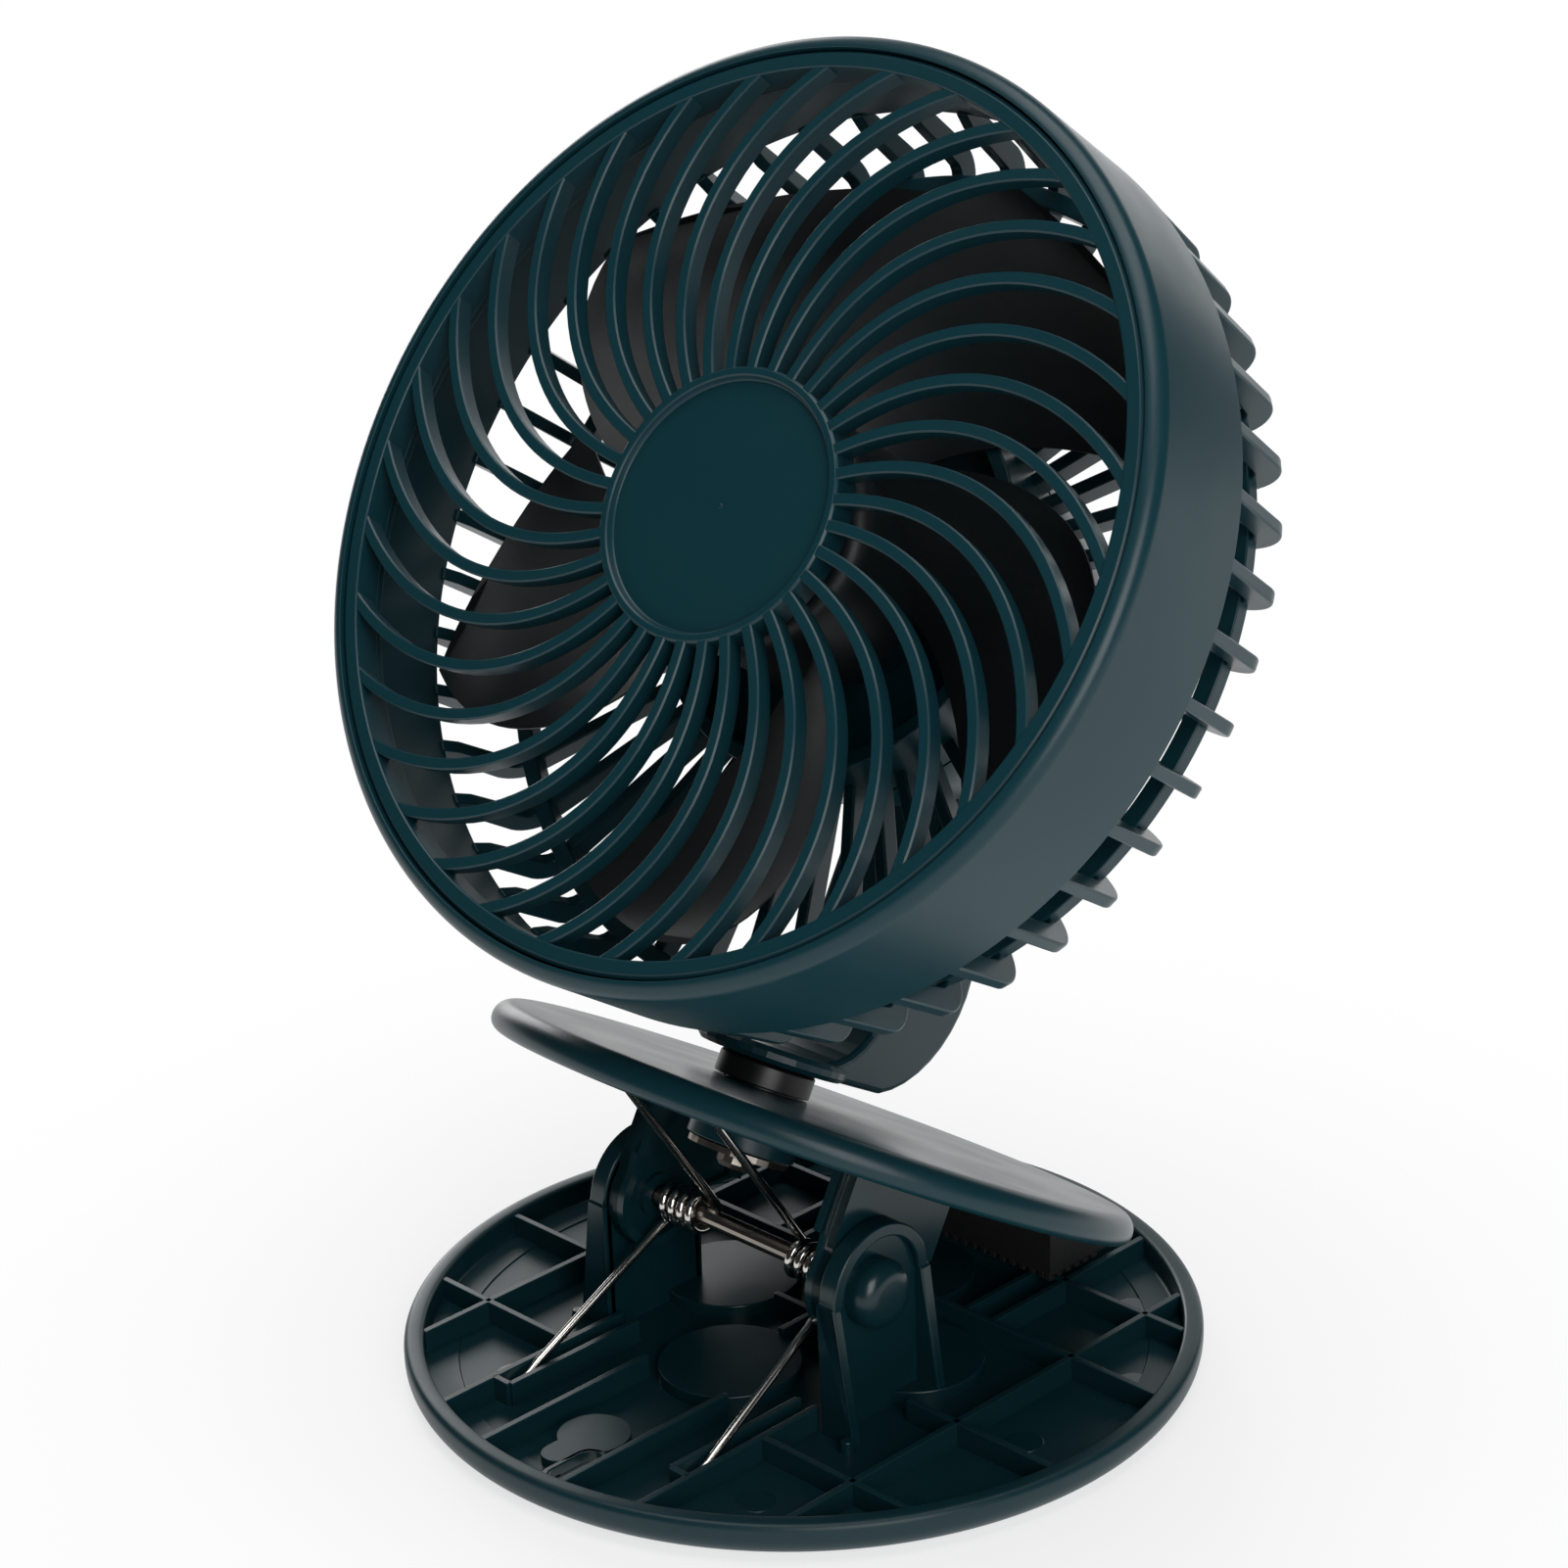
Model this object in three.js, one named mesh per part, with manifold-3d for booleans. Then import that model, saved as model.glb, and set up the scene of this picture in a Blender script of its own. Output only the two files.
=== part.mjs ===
// Clip fan: a round tray base and a sprung clip lever make the clip. A short neck on the
// lever carries an elbow arm, and the arm carries a tilting head with a spiral front grille.
// Millimetres, +Z up. The origin is the centre of the base's underside. The fan's front and
// the clip's handle face -Y, and the jaw opens towards +Y.
import * as THREE from 'three';
import { mergeVertices } from 'three/addons/utils/BufferGeometryUtils.js';
import Module from 'manifold-3d';

const wasm = await Module();
wasm.setup();

// ---------------------------------------------------------------- driving dimensions
const rad = Math.PI / 180;
const gap = 0.3;               // clearance between pieces that seat on each other
const roundSteps = 54;         // steps round a large ring, and round the head's rings
const headSteps = 48;

// base tray
const baseRadius = 66;
const baseHeight = 6;
const baseRimWidth = 3.3;
const baseFloor = 1.8;
const ribWidth = 1.3;
const ribDrop = 0.5;           // rib tops lie this far under the rim
const sideRibX = 42.3;
const rearRibY = 37.4;
const middleRibY = 18.7;
const pinRibY = -8.7;
const frontRibY = -32.2;
const keyRibX = 9.2;           // ribs on either side of the hanging keyhole
const slotX = 20.75;           // slots that hold the springs' lower legs
const slotWidth = 2.6;
const slotFrontY = -48;
const slotBackY = -20;
const discCentreY = 4;         // four raised discs stand round this place
const discRing = 21;
const discRadius = 11.9;
const discTop = 3.7;
const footRadius = 10.3;       // rubber feet in the recesses under the discs
const footProud = 0.6;
const footRecess = 2;
const keyholeY = -47;
const keyholeRadius = 5.9;
const keyholeTipY = -54.5;
const keyholeTip = 2.8;
const keyholeTop = 3.4;
const openingX = 5;            // rounded opening beside the keyhole
const openingY = -55.6;
const openingLength = 6;
const openingRadius = 2;

// pivot and uprights
const pinY = -11.5;
const pinZ = 24.3;
const pinRadius = 1.6;
const uprightX = 24.6;         // inner face of each upright's web
const uprightAhead = 1.3;      // upright's middle behind the pin, towards the jaw
const webThickness = 2.2;
const uprightHalf = 10.8;      // half of the upright's width, and its arch radius
const flangeFoot = 5.1;        // how far the flanges stand out, at the foot and at the top
const flangeTip = 1.7;
const flangeThickness = 1.8;
const bossRadius = 4.5;
const bossReach = 4.7;

// clip lever
const leverTilt = 30 * rad;
const plateRadius = 55;
const plateAhead = 5.4;        // plate's middle from the pin, along the plate
const plateRise = 18.2;        // plate's lower edge above the pin, square to the plate
const plateHeight = 5.2;       // the rounded rim's height over that edge
const plateCrown = 0.4;        // the middle of the top stands this much over the rim
const plateWall = 4.5;
const plateSkin = 1.8;
const earThickness = 2;
const earFlange = 5;
const earFront = -9;
const earBack = 15.9;
const earEndRadius = 8.7;
const earRound = 3.4;          // width of the ear's rounded rim, clear of the spring's leg
const boltBossRadius = 12;
const boltBossStep = 9;
const boltBossDrop = 4.6;
const padHalfWidth = 24;
const padFrontY = 34.7;
const padBackY = 51.5;
const padStud = 0.9;

// torsion springs
const springWire = 1.5;
const springPitch = 2.05;
const springTurns = 4;         // full turns; the legs add the rest
const springClearance = 0.4;   // between the coil and the pin
const springOuterX = 19;
const springFootY = -40;
const springHookY = -45.2;
const springRise = 56.5 * rad; // slope of the upper leg
const springHook = 4;

// neck and arm
const neckBack = 15;           // neck axis from the plate's middle, towards the handle
const neckRadius = 8;
const neckSpigotRadius = 6;
const swivelRise = 26.6;       // origin of the swivel's frame over the pin
const neckTop = 1.4;           // neck's top over that origin
const neckTenon = 4;
const swivelRest = 3.5 * rad;
const armHalfWidth = 10;
const armFootRadius = 12.5;
const armFootThickness = 2.6;
const armInner = 12.2;         // the upright part of the arm starts at these two places
const armOuter = 33;
const armElbow = 20;
const armElbowZ = 21;
const armElbowY = 13;
const armCrook = 11.9;
const armCrookZ = 16;
const armTaperY = 29.6;
const armTaperZ = 60;
const armWall = 2.2;
const armBevel = 1.1;
const pivotRadius = 2;
const knuckleRadius = 8.7;
const forkHalf = 5.6;
const washerThickness = 0.8;
const lugHalf = 4.2;
const armScrewZ = [23, 58];

// head
const headY = -57.5;           // middle of the head's front, from the neck axis
const headClear = 4;           // between the drum and the level of the swivel's origin
const headTilt = 2.8 * rad;    // face up, from square to the neck axis
const drumRadius = 75.2;
const drumWall = 2.4;
const drumDepth = 24.2;
const lipRadius = 2.6;
const cageDepth = 43.5;
const cageTaper = 1.4;
const cageCorner = 6;
const cageRibs = 45;
const cageRibPhase = 5.9 * rad;
const cageRibWidth = 2.5;
const cageRibDepth = 4.6;
const cageRingRadius = 59;
const cageRingWidth = 3.5;
const cupRadius = 33;
const cupDepth = 12;
const cupWall = 2.4;
const platePlace = 40.6;       // front of the wall that carries the motor

// front grille
const grilleBand = 2.8;
const grilleDepth = 5;
const hubRadius = 21.7;
const hubLip = 1.9;
const hubRecess = 1.4;
const spokes = 34;
const spokeWidth = 1.9;
const spokeSweep = 32.6 * rad;
const spokePower = 1.74;
const spokePhase = 2.9 * rad;
const spokeStations = 5;

// motor and impeller
const bladeCount = 5;
const bladePhase = 26 * rad;
const bladeClear = 5;          // between the blades' tips and the grille's ring
const bladeThickness = 1.7;
const rotorHubRadius = 20;
const rotorFront = 10.5;
const rotorBack = 31;
const motorRadius = 14;
const motorFront = 17;
const shaftRadius = 1.5;

// rear housing
const coverBack = 66;
const coverWall = 2;
const pivotDepth = 78.5;       // tilt hinge behind the head's front
const lugRadius = 8.2;
const buttonRadius = 5;
const buttonZ = 17;
const buttonTravel = 1;
const lightX = 10;
const screwPlace = 17;
const portDepth = 55;

// Places that follow from the sizes above.
const headZ = drumRadius + headClear;
const pivotY = headY + pivotDepth * Math.cos(headTilt);
const pivotZ = headZ - pivotDepth * Math.sin(headTilt);
const grilleRadius = drumRadius - lipRadius - gap;
const bladeTip = grilleRadius - grilleBand - bladeClear;

// ---------------------------------------------------------------- materials
const finish = (color, roughness, metalness) =>
  new THREE.MeshStandardMaterial({ color, roughness, metalness });
const tealSatin = () => finish(0x123f4b, 0.42, 0);
const tealGloss = () => finish(0x0e3640, 0.18, 0);
const blackMatte = () => finish(0x1b1c1e, 0.55, 0);
const rubber = () => finish(0x1d1d1e, 0.8, 0);
const nickel = () => finish(0xc9c7c2, 0.2, 1);
const steel = () => finish(0x8d857b, 0.35, 1);
const board = () => finish(0x1e5b36, 0.5, 0);
const clear = () => finish(0xd9dcd8, 0.3, 0);
const sleeve = () => finish(0x9aa3ad, 0.35, 0.3);

// ---------------------------------------------------------------- solids
// A closed geometry becomes a manifold solid: merged vertices, no flat triangles, faces out.
function solid(geometry) {
  const bare = geometry.clone();
  bare.deleteAttribute('normal');
  bare.deleteAttribute('uv');
  const merged = mergeVertices(bare, 1e-4);
  const at = merged.attributes.position.array;
  const index = merged.index.array;
  const keep = [];
  let volume = 0;
  for (let i = 0; i < index.length; i += 3) {
    const [a, b, c] = [index[i], index[i + 1], index[i + 2]];
    if (a === b || b === c || a === c) continue;
    keep.push(a, b, c);
    const p = new THREE.Vector3().fromArray(at, 3 * a);
    const q = new THREE.Vector3().fromArray(at, 3 * b);
    const r = new THREE.Vector3().fromArray(at, 3 * c);
    volume += p.dot(q.cross(r));
  }
  if (volume < 0) keep.reverse();
  return new wasm.Manifold(new wasm.Mesh({
    numProp: 3,
    vertProperties: new Float32Array(at),
    triVerts: new Uint32Array(keep),
  }));
}

const join = (parts) => parts.reduce((sum, part) => sum.add(part));
const cut = (body, tools) => tools.reduce((rest, tool) => rest.subtract(tool), body);

// A named mesh from a solid, with flat normals.
function piece(name, body, material) {
  const data = body.getMesh();
  const geometry = new THREE.BufferGeometry();
  const stride = data.numProp;
  const count = data.vertProperties.length / stride;
  const at = new Float32Array(3 * count);
  for (let i = 0; i < count; i += 1) {
    for (let k = 0; k < 3; k += 1) at[3 * i + k] = data.vertProperties[stride * i + k];
  }
  geometry.setAttribute('position', new THREE.BufferAttribute(at, 3));
  geometry.setIndex(new THREE.BufferAttribute(new Uint32Array(data.triVerts), 1));
  const flat = geometry.toNonIndexed();
  flat.computeVertexNormals();
  const mesh = new THREE.Mesh(flat, material);
  mesh.name = name;
  return mesh;
}

function box(x0, x1, y0, y1, z0, z1) {
  const shape = new THREE.BoxGeometry(x1 - x0, y1 - y0, z1 - z0);
  shape.translate((x0 + x1) / 2, (y0 + y1) / 2, (z0 + z1) / 2);
  return solid(shape);
}

// A profile of [radius, height] turned about Z, X or Y.
function turned(profile, steps = roundSteps, axis = 'z') {
  const points = profile.map(([r, h]) => new THREE.Vector2(r, h));
  const shape = new THREE.LatheGeometry(points, steps);
  if (axis === 'z') shape.rotateX(Math.PI / 2);
  if (axis === 'x') shape.rotateZ(-Math.PI / 2);
  return solid(shape);
}

const ring = (inner, outer, h0, h1, steps, axis) =>
  turned([[inner, h0], [outer, h0], [outer, h1], [inner, h1], [inner, h0]], steps, axis);
const rod = (radius, h0, h1, steps = 16, axis = 'z') =>
  turned([[0, h0], [radius, h0], [radius, h1], [0, h1]], steps, axis);
const moved = (body, x, y, z) => body.translate([x, y, z]);

// Points of an arc in a plane, from one angle to another.
function arc(cx, cy, radius, from, to, steps) {
  return Array.from({ length: steps + 1 }, (_, i) => {
    const angle = from + ((to - from) * i) / steps;
    return [cx + radius * Math.cos(angle), cy + radius * Math.sin(angle)];
  });
}

// An outline in the YZ plane, extruded along X between two places, with an optional bevel.
function sideways(outline, x0, x1, bevel = 0) {
  const shape = new THREE.Shape(outline.map(([y, z]) => new THREE.Vector2(y, z)));
  const body = new THREE.ExtrudeGeometry(shape, {
    depth: x1 - x0 - 2 * bevel,
    bevelEnabled: bevel > 0,
    bevelSize: bevel,
    bevelOffset: -bevel,
    bevelThickness: bevel,
    bevelSegments: 3,
    curveSegments: 8,
  });
  body.translate(0, 0, x0 + bevel);
  body.rotateY(Math.PI / 2);
  body.rotateX(Math.PI / 2);
  return solid(body);
}

// An outline in the XY plane, extruded upwards between two heights.
function upwards(outline, z0, z1) {
  const shape = new THREE.Shape(outline.map(([x, y]) => new THREE.Vector2(x, y)));
  const body = new THREE.ExtrudeGeometry(shape, { depth: z1 - z0, bevelEnabled: false });
  body.translate(0, 0, z0);
  return solid(body);
}

// An outline in the XZ plane, extruded along Y between two places.
function frontways(outline, y0, y1) {
  const shape = new THREE.Shape(outline.map(([x, z]) => new THREE.Vector2(x, z)));
  const body = new THREE.ExtrudeGeometry(shape, { depth: y1 - y0, bevelEnabled: false });
  body.rotateX(Math.PI / 2);
  body.translate(0, y1, 0);
  return solid(body);
}

// A skin through rings of equal point counts, closed at both ends.
function skin(rings) {
  const size = rings[0].length;
  const at = rings.flat(2);
  const faces = [];
  for (let i = 0; i < rings.length - 1; i += 1) {
    for (let k = 0; k < size; k += 1) {
      const a = i * size + k;
      const b = i * size + ((k + 1) % size);
      faces.push(a, b, b + size, a, b + size, a + size);
    }
  }
  const last = (rings.length - 1) * size;
  for (let a = 0, b = size - 1; a + 1 < b; a += 1, b -= 1) {
    faces.push(a, b, a + 1, last + a, last + a + 1, last + b);
    if (a + 1 < b - 1) {
      faces.push(a + 1, b, b - 1, last + a + 1, last + b - 1, last + b);
    }
  }
  const shape = new THREE.BufferGeometry();
  shape.setAttribute('position', new THREE.Float32BufferAttribute(at, 3));
  shape.setIndex(faces);
  return solid(shape);
}

// ---------------------------------------------------------------- base tray
function trayDish() {
  const foot = 3.6;
  const top = 1.2;
  const inner = baseRadius - baseRimWidth;
  return turned([
    [0, 0],
    ...arc(baseRadius - foot, foot, foot, -Math.PI / 2, 0, 3),
    ...arc(baseRadius - top, baseHeight - top, top, 0, Math.PI / 2, 2),
    [inner, baseHeight],
    [inner, baseFloor],
    [0, baseFloor],
  ]);
}

// A rib from one corner to the other, standing on the floor.
const rib = (x0, x1, y0, y1) => box(x0, x1, y0, y1, baseFloor - 0.5, baseHeight - ribDrop);
const ribAlongX = (y, x0, x1) => rib(x0, x1, y - ribWidth / 2, y + ribWidth / 2);
const ribAlongY = (x, y0, y1) => rib(x - ribWidth / 2, x + ribWidth / 2, y0, y1);

function trayRibs() {
  const reach = baseRadius - 1;
  const wall = (slotWidth + ribWidth) / 2;
  const ribs = [ribAlongX(rearRibY, -reach, reach), ribAlongX(middleRibY, -reach, reach)];
  for (const side of [-1, 1]) {
    const across = (y, from) => ribAlongX(y, Math.min(side * from, side * reach),
      Math.max(side * from, side * reach));
    const slotOuter = slotX + wall;
    ribs.push(
      ribAlongY(side * sideRibX, -reach, reach),
      ribAlongY(side * keyRibX, -reach, discCentreY - discRing - discRadius + 2),
      ribAlongY(side * slotOuter, -reach, slotBackY),
      ribAlongY(side * (slotX - wall), slotFrontY, slotBackY),
      ribAlongY(side * (discRing + 4), middleRibY, reach),
      ribAlongY(side * (discRing - 2), middleRibY, reach),
      across(pinRibY, uprightX + webThickness + flangeFoot),
      across(frontRibY, slotOuter),
      rib(side * slotX - wall, side * slotX + wall,
        slotFrontY - ribWidth / 2, slotFrontY + ribWidth / 2),
    );
  }
  return join(ribs).intersect(rod(baseRadius - baseRimWidth + 1, 0, baseHeight, roundSteps));
}

const discPlaces = [0, 1, 2, 3].map((i) => [
  discRing * Math.round(Math.sin((i * Math.PI) / 2)),
  discCentreY - discRing * Math.round(Math.cos((i * Math.PI) / 2)),
]);

// Outline of a keyhole: a large round end and a small one towards the front edge.
function keyholeOutline(inset) {
  const large = keyholeRadius - inset;
  const small = keyholeTip - inset;
  const spread = Math.asin(small / large);
  return [
    ...arc(0, keyholeY, large, -Math.PI / 2 + spread, 1.5 * Math.PI - spread, 12),
    ...arc(0, keyholeTipY, small, Math.PI, 2 * Math.PI, 4),
  ];
}

// Outline of the rounded opening beside the keyhole.
function openingOutline(margin) {
  const half = openingLength / 2;
  const r = openingRadius + margin;
  return [
    ...arc(openingX, openingY + half, r, 0, Math.PI, 4),
    ...arc(openingX, openingY - half, r, Math.PI, 2 * Math.PI, 4),
  ];
}

function upright(side) {
  const web0 = uprightX;
  const web1 = uprightX + webThickness;
  const middle = pinY + uprightAhead;
  const y0 = middle - uprightHalf;
  const y1 = middle + uprightHalf;
  const foot = baseFloor - 0.5;
  const web = sideways(
    [[y1, foot], ...arc(middle, pinZ, uprightHalf, 0, Math.PI, 12), [y0, foot]], web0, web1);
  const band = ring(uprightHalf - 2.2, uprightHalf, 0, webThickness + 1.3, 24, 'x');
  const archBand = band.intersect(box(-1, 9, -20, 20, 2, 20));
  const flanges = [y0, y1 - flangeThickness].map((y) => frontways([
    [web0, foot],
    [web1 + flangeFoot, foot],
    [web1 + flangeTip, pinZ + 3],
    [web1 + flangeTip - 1, pinZ + 4.2],
    [web0, pinZ + 4.2],
  ], y, y + flangeThickness));
  const dome = turned([
    [0, -0.5],
    [bossRadius, -0.5],
    [bossRadius, bossReach - 2.4],
    ...arc(bossRadius - 2.4, bossReach - 2.4, 2.4, 0, Math.PI / 2, 2).slice(1),
    [0, bossReach],
  ], 16, 'x');
  const bore = rod(pinRadius + 0.1, -1, webThickness + bossReach - 1.4, 16, 'x');
  const body = join([web, moved(archBand, web0, middle, pinZ), moved(dome, web1, pinY, pinZ),
    ...flanges]).subtract(moved(bore, web0, pinY, pinZ));
  return side > 0 ? body : body.mirror([1, 0, 0]);
}

function baseTray() {
  const discs = discPlaces.map(([x, y]) => moved(rod(discRadius, 0.5, discTop, 24), x, y, 0));
  const recesses = discPlaces.map(([x, y]) =>
    moved(rod(footRadius + gap, -1, footRecess, 24), x, y, 0));
  const cross = [
    rib(-discRing, discRing, discCentreY - 1 - ribWidth / 2, discCentreY - 1 + ribWidth / 2),
    rib(-ribWidth / 2, ribWidth / 2, discCentreY - discRing, discCentreY + discRing),
  ].map((bar) => bar.subtract(join(discPlaces.map(([x, y]) =>
    moved(rod(discRadius - 1, 0, 9, 24), x, y, 0)))));
  const keyhole = upwards(keyholeOutline(0), baseFloor - 0.5, keyholeTop);
  const keyholeHollow = upwards(keyholeOutline(1.4), -1, keyholeTop - 1.2);
  const collar = upwards(openingOutline(1), baseFloor - 0.5, keyholeTop);
  const opening = upwards(openingOutline(0), -1, keyholeTop + 1);
  const tray = [trayDish(), trayRibs(), ...discs, ...cross, keyhole, collar];
  return cut(join([...tray, upright(1), upright(-1)]), [...recesses, keyholeHollow, opening]);
}

const footPad = () => turned([
  [0, -footProud],
  [footRadius - 0.5, -footProud],
  [footRadius, -footProud + 0.5],
  [footRadius, footRecess - gap],
  [0, footRecess - gap],
], 20);

function pivotPin() {
  const end = uprightX + webThickness + bossReach - 1.8;
  const chamfer = 0.4;
  return turned([
    [0, -end],
    [pinRadius - chamfer, -end],
    [pinRadius, -end + chamfer],
    [pinRadius, end - chamfer],
    [pinRadius - chamfer, end],
    [0, end],
  ], 16, 'x');
}

// ---------------------------------------------------------------- clip lever
// The lever's own frame has its origin on the pin: Y runs along the plate to the jaw, and Z
// is square to the plate.
const leverFrame = new THREE.Matrix4().makeRotationX(-leverTilt)
  .setPosition(0, pinY, pinZ);
const plateTop = plateRise + plateHeight;
const plateRoof = plateTop - plateSkin;
const neckY = plateAhead - neckBack;
const skirtInner = plateRadius - plateWall;
const bossLow = plateRise - boltBossDrop;

function plateShell() {
  const upper = 3;
  const lower = 2;
  return moved(turned([
    [0, plateTop + plateCrown],
    [plateRadius / 2, plateTop + plateCrown * 0.75],
    ...arc(plateRadius - upper, plateTop - upper, upper, Math.PI / 2, 0, 5),
    ...arc(plateRadius - lower, plateRise + lower, lower, 0, -Math.PI / 2, 3),
    [skirtInner, plateRise],
    [skirtInner, plateRoof],
    [0, plateRoof],
  ]), 0, plateAhead, 0);
}

function ear(side) {
  const outer = uprightX - gap;
  const inner = outer - earThickness;
  const roof = plateRoof + 0.5;
  const low = 6;
  const outline = (inset) => [
    [earBack - inset, roof],
    [earBack - inset, low],
    ...arc(0, 0, earEndRadius - inset, 0.25, -Math.PI - 0.25, 10),
    [earFront + inset, low],
    [earFront + inset, roof],
  ];
  const plate = sideways(outline(0), inner, outer);
  const rim = sideways(outline(0), outer - earRound, outer)
    .subtract(sideways(outline(1.6), outer - earRound - 1, outer + 1));
  const edges = [earFront, earBack - 1.6].map((y) =>
    box(outer - earFlange, outer, y, y + 1.6, low, roof));
  const gussets = [-3, 4.5, 10].map((y) => frontways([
    [inner + 0.2, roof],
    [inner + 0.2, plateRise - 8],
    [inner - 3.4, roof],
  ], y, y + 1.2));
  const hub = rod(pinRadius + 2.2, inner - 1, outer, 16, 'x');
  const body = join([plate, rim, hub, ...edges, ...gussets])
    .subtract(rod(pinRadius + 0.2, inner - 9, outer + 9, 16, 'x'));
  return side > 0 ? body : body.mirror([1, 0, 0]);
}

function topPlate() {
  const boss = turned([
    [0, plateRoof + 0.5],
    [boltBossRadius, plateRoof + 0.5],
    [boltBossRadius, bossLow + 3],
    [boltBossStep, bossLow + 3],
    [boltBossStep, bossLow],
    [0, bossLow],
  ], 24);
  const ribs = [-1, 1].map((side) => box(
    side > 0 ? boltBossRadius - 1 : -uprightX + 1.5,
    side > 0 ? uprightX - 1.5 : -boltBossRadius + 1,
    neckY - 0.7 + 4, neckY + 0.7 + 4, plateRoof - 3, plateRoof + 0.5));
  const bore = rod(neckSpigotRadius + gap, bossLow - 1, plateTop + 1, 32);
  return join([plateShell(), moved(boss, 0, neckY, 0), ...ribs, ear(1), ear(-1)])
    .subtract(moved(bore, 0, neckY, 0));
}

// The pad is a wedge: flat and studded below, and fitted up inside the plate's jaw end.
function jawPad() {
  const low = baseHeight - ribDrop + gap;
  const body = box(-padHalfWidth, padHalfWidth, padFrontY, padBackY, low + padStud, 60);
  const studs = [];
  const countX = 10;
  const countY = 3;
  const stepX = (2 * padHalfWidth) / countX;
  const stepY = (padBackY - padFrontY) / countY;
  for (let i = 0; i < countX; i += 1) {
    for (let k = 0; k < countY; k += 1) {
      const x = -padHalfWidth + (i + 0.5) * stepX;
      const y = padFrontY + (k + 0.5) * stepY;
      studs.push(box(x - 0.32 * stepX, x + 0.32 * stepX, y - 0.32 * stepY, y + 0.32 * stepY,
        low, low + padStud + 0.2));
    }
  }
  const block = join([body, ...studs]).transform(leverFrame.clone().invert().toArray());
  const inside = moved(rod(skirtInner - gap, -40, plateRoof - gap, roundSteps), 0, plateAhead, 0);
  return block.intersect(inside.add(box(-90, 90, -90, 90, -90, plateRise - gap)));
}

// ---------------------------------------------------------------- torsion springs
// One unbroken wire: a lower leg to its slot, the coil round the pin, and an upper leg
// to the underside of the plate. The route is worked out from the sizes above.
const coilRadius = pinRadius + springClearance + springWire / 2;

function springRoute(side) {
  const foot = new THREE.Vector3(slotX, springFootY, baseHeight - ribDrop);
  const floorZ = baseFloor + gap + springWire / 2;
  const toPin = Math.atan2(pinZ - foot.z, pinY - foot.y);
  const distance = Math.hypot(pinZ - foot.z, pinY - foot.y);
  const from = toPin - Math.asin(coilRadius / distance) - Math.PI / 2;
  const heading = Math.PI - springRise;
  let to = heading - Math.PI / 2;
  while (to - from < 2 * Math.PI * springTurns) to += 2 * Math.PI;
  const steps = Math.round((8 * (to - from)) / (2 * Math.PI));
  const coil = Array.from({ length: steps + 1 }, (_, i) => {
    const angle = from + ((to - from) * i) / steps;
    return new THREE.Vector3(springOuterX - (springPitch * (angle - from)) / (2 * Math.PI),
      pinY + coilRadius * Math.cos(angle), pinZ + coilRadius * Math.sin(angle));
  });
  const along = new THREE.Vector3(0, Math.cos(heading), Math.sin(heading));
  const under = new THREE.Vector3(0, -Math.cos(leverTilt), Math.sin(leverTilt));
  const roof = springRoof(coil[coil.length - 1], along);
  const route = [
    new THREE.Vector3(foot.x, springHookY, floorZ),
    foot,
    ...coil,
    roof.clone().addScaledVector(along, -1.5),
    roof.clone().addScaledVector(under, 0.6),
    roof.clone().addScaledVector(under, springHook),
  ];
  for (const point of route) point.x *= side;
  return route;
}

// The place where a straight leg from the coil meets the underside of the plate.
function springRoof(start, along) {
  const normal = new THREE.Vector3(0, Math.sin(leverTilt), Math.cos(leverTilt));
  const roof = new THREE.Vector3(0, pinY, pinZ)
    .addScaledVector(normal, plateRoof - gap - springWire / 2);
  const reach = roof.sub(start).dot(normal) / along.dot(normal);
  return start.clone().addScaledVector(along, reach);
}

// A wire of five sides along a route, carried square to the route at each point.
function wire(route, radius, sides) {
  let normal = new THREE.Vector3(1, 0, 0);
  return skin(route.map((point, i) => {
    const before = route[Math.max(i - 1, 0)];
    const after = route[Math.min(i + 1, route.length - 1)];
    const along = after.clone().sub(point).normalize().add(point.clone().sub(before).normalize());
    along.normalize();
    normal = normal.clone().addScaledVector(along, -normal.dot(along)).normalize();
    const side = along.clone().cross(normal);
    return Array.from({ length: sides }, (_, k) => {
      const angle = (2 * Math.PI * k) / sides;
      return point.clone()
        .addScaledVector(normal, radius * Math.cos(angle))
        .addScaledVector(side, radius * Math.sin(angle)).toArray();
    });
  }));
}

const torsionSpring = (side) => wire(springRoute(side), springWire / 2, 5);

// Least distance between two turns of the wire's surface, measured on points of its route.
function leastGap(route, diameter) {
  const dense = [];
  let travelled = 0;
  for (let i = 0; i < route.length - 1; i += 1) {
    const length = route[i].distanceTo(route[i + 1]);
    const parts = Math.ceil(length / 0.5);
    for (let k = 0; k < parts; k += 1) {
      const place = route[i].clone().lerp(route[i + 1], k / parts);
      dense.push({ place, at: travelled + (length * k) / parts });
    }
    travelled += length;
  }
  let least = Infinity;
  for (const one of dense) {
    for (const other of dense) {
      if (other.at - one.at < 4 * diameter) continue;
      least = Math.min(least, one.place.distanceTo(other.place) - diameter);
    }
  }
  return least;
}
console.log('least gap of a spring to itself, mm:', leastGap(springRoute(1), springWire).toFixed(2));

// ---------------------------------------------------------------- neck and arm
// The neck is built in the lever's frame. The arm and the head are built in the swivel's
// frame, which has its origin on the neck axis.
function neck() {
  const seat = plateTop + plateCrown + gap;
  const top = swivelRise + neckTop;
  return turned([
    [0, bossLow + 9],
    [1.3, bossLow + 9],
    [1.3, bossLow],
    [neckSpigotRadius, bossLow],
    [neckSpigotRadius, seat],
    [neckRadius, seat],
    [neckRadius, top - 0.5],
    [neckRadius - 0.5, top],
    [neckTenon, top],
    [neckTenon, top + 1.6],
    [0, top + 1.6],
  ], 24);
}

const neckWasher = () => ring(1.6, boltBossStep - 0.6, bossLow - gap - 1, bossLow - gap, 24);

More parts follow.
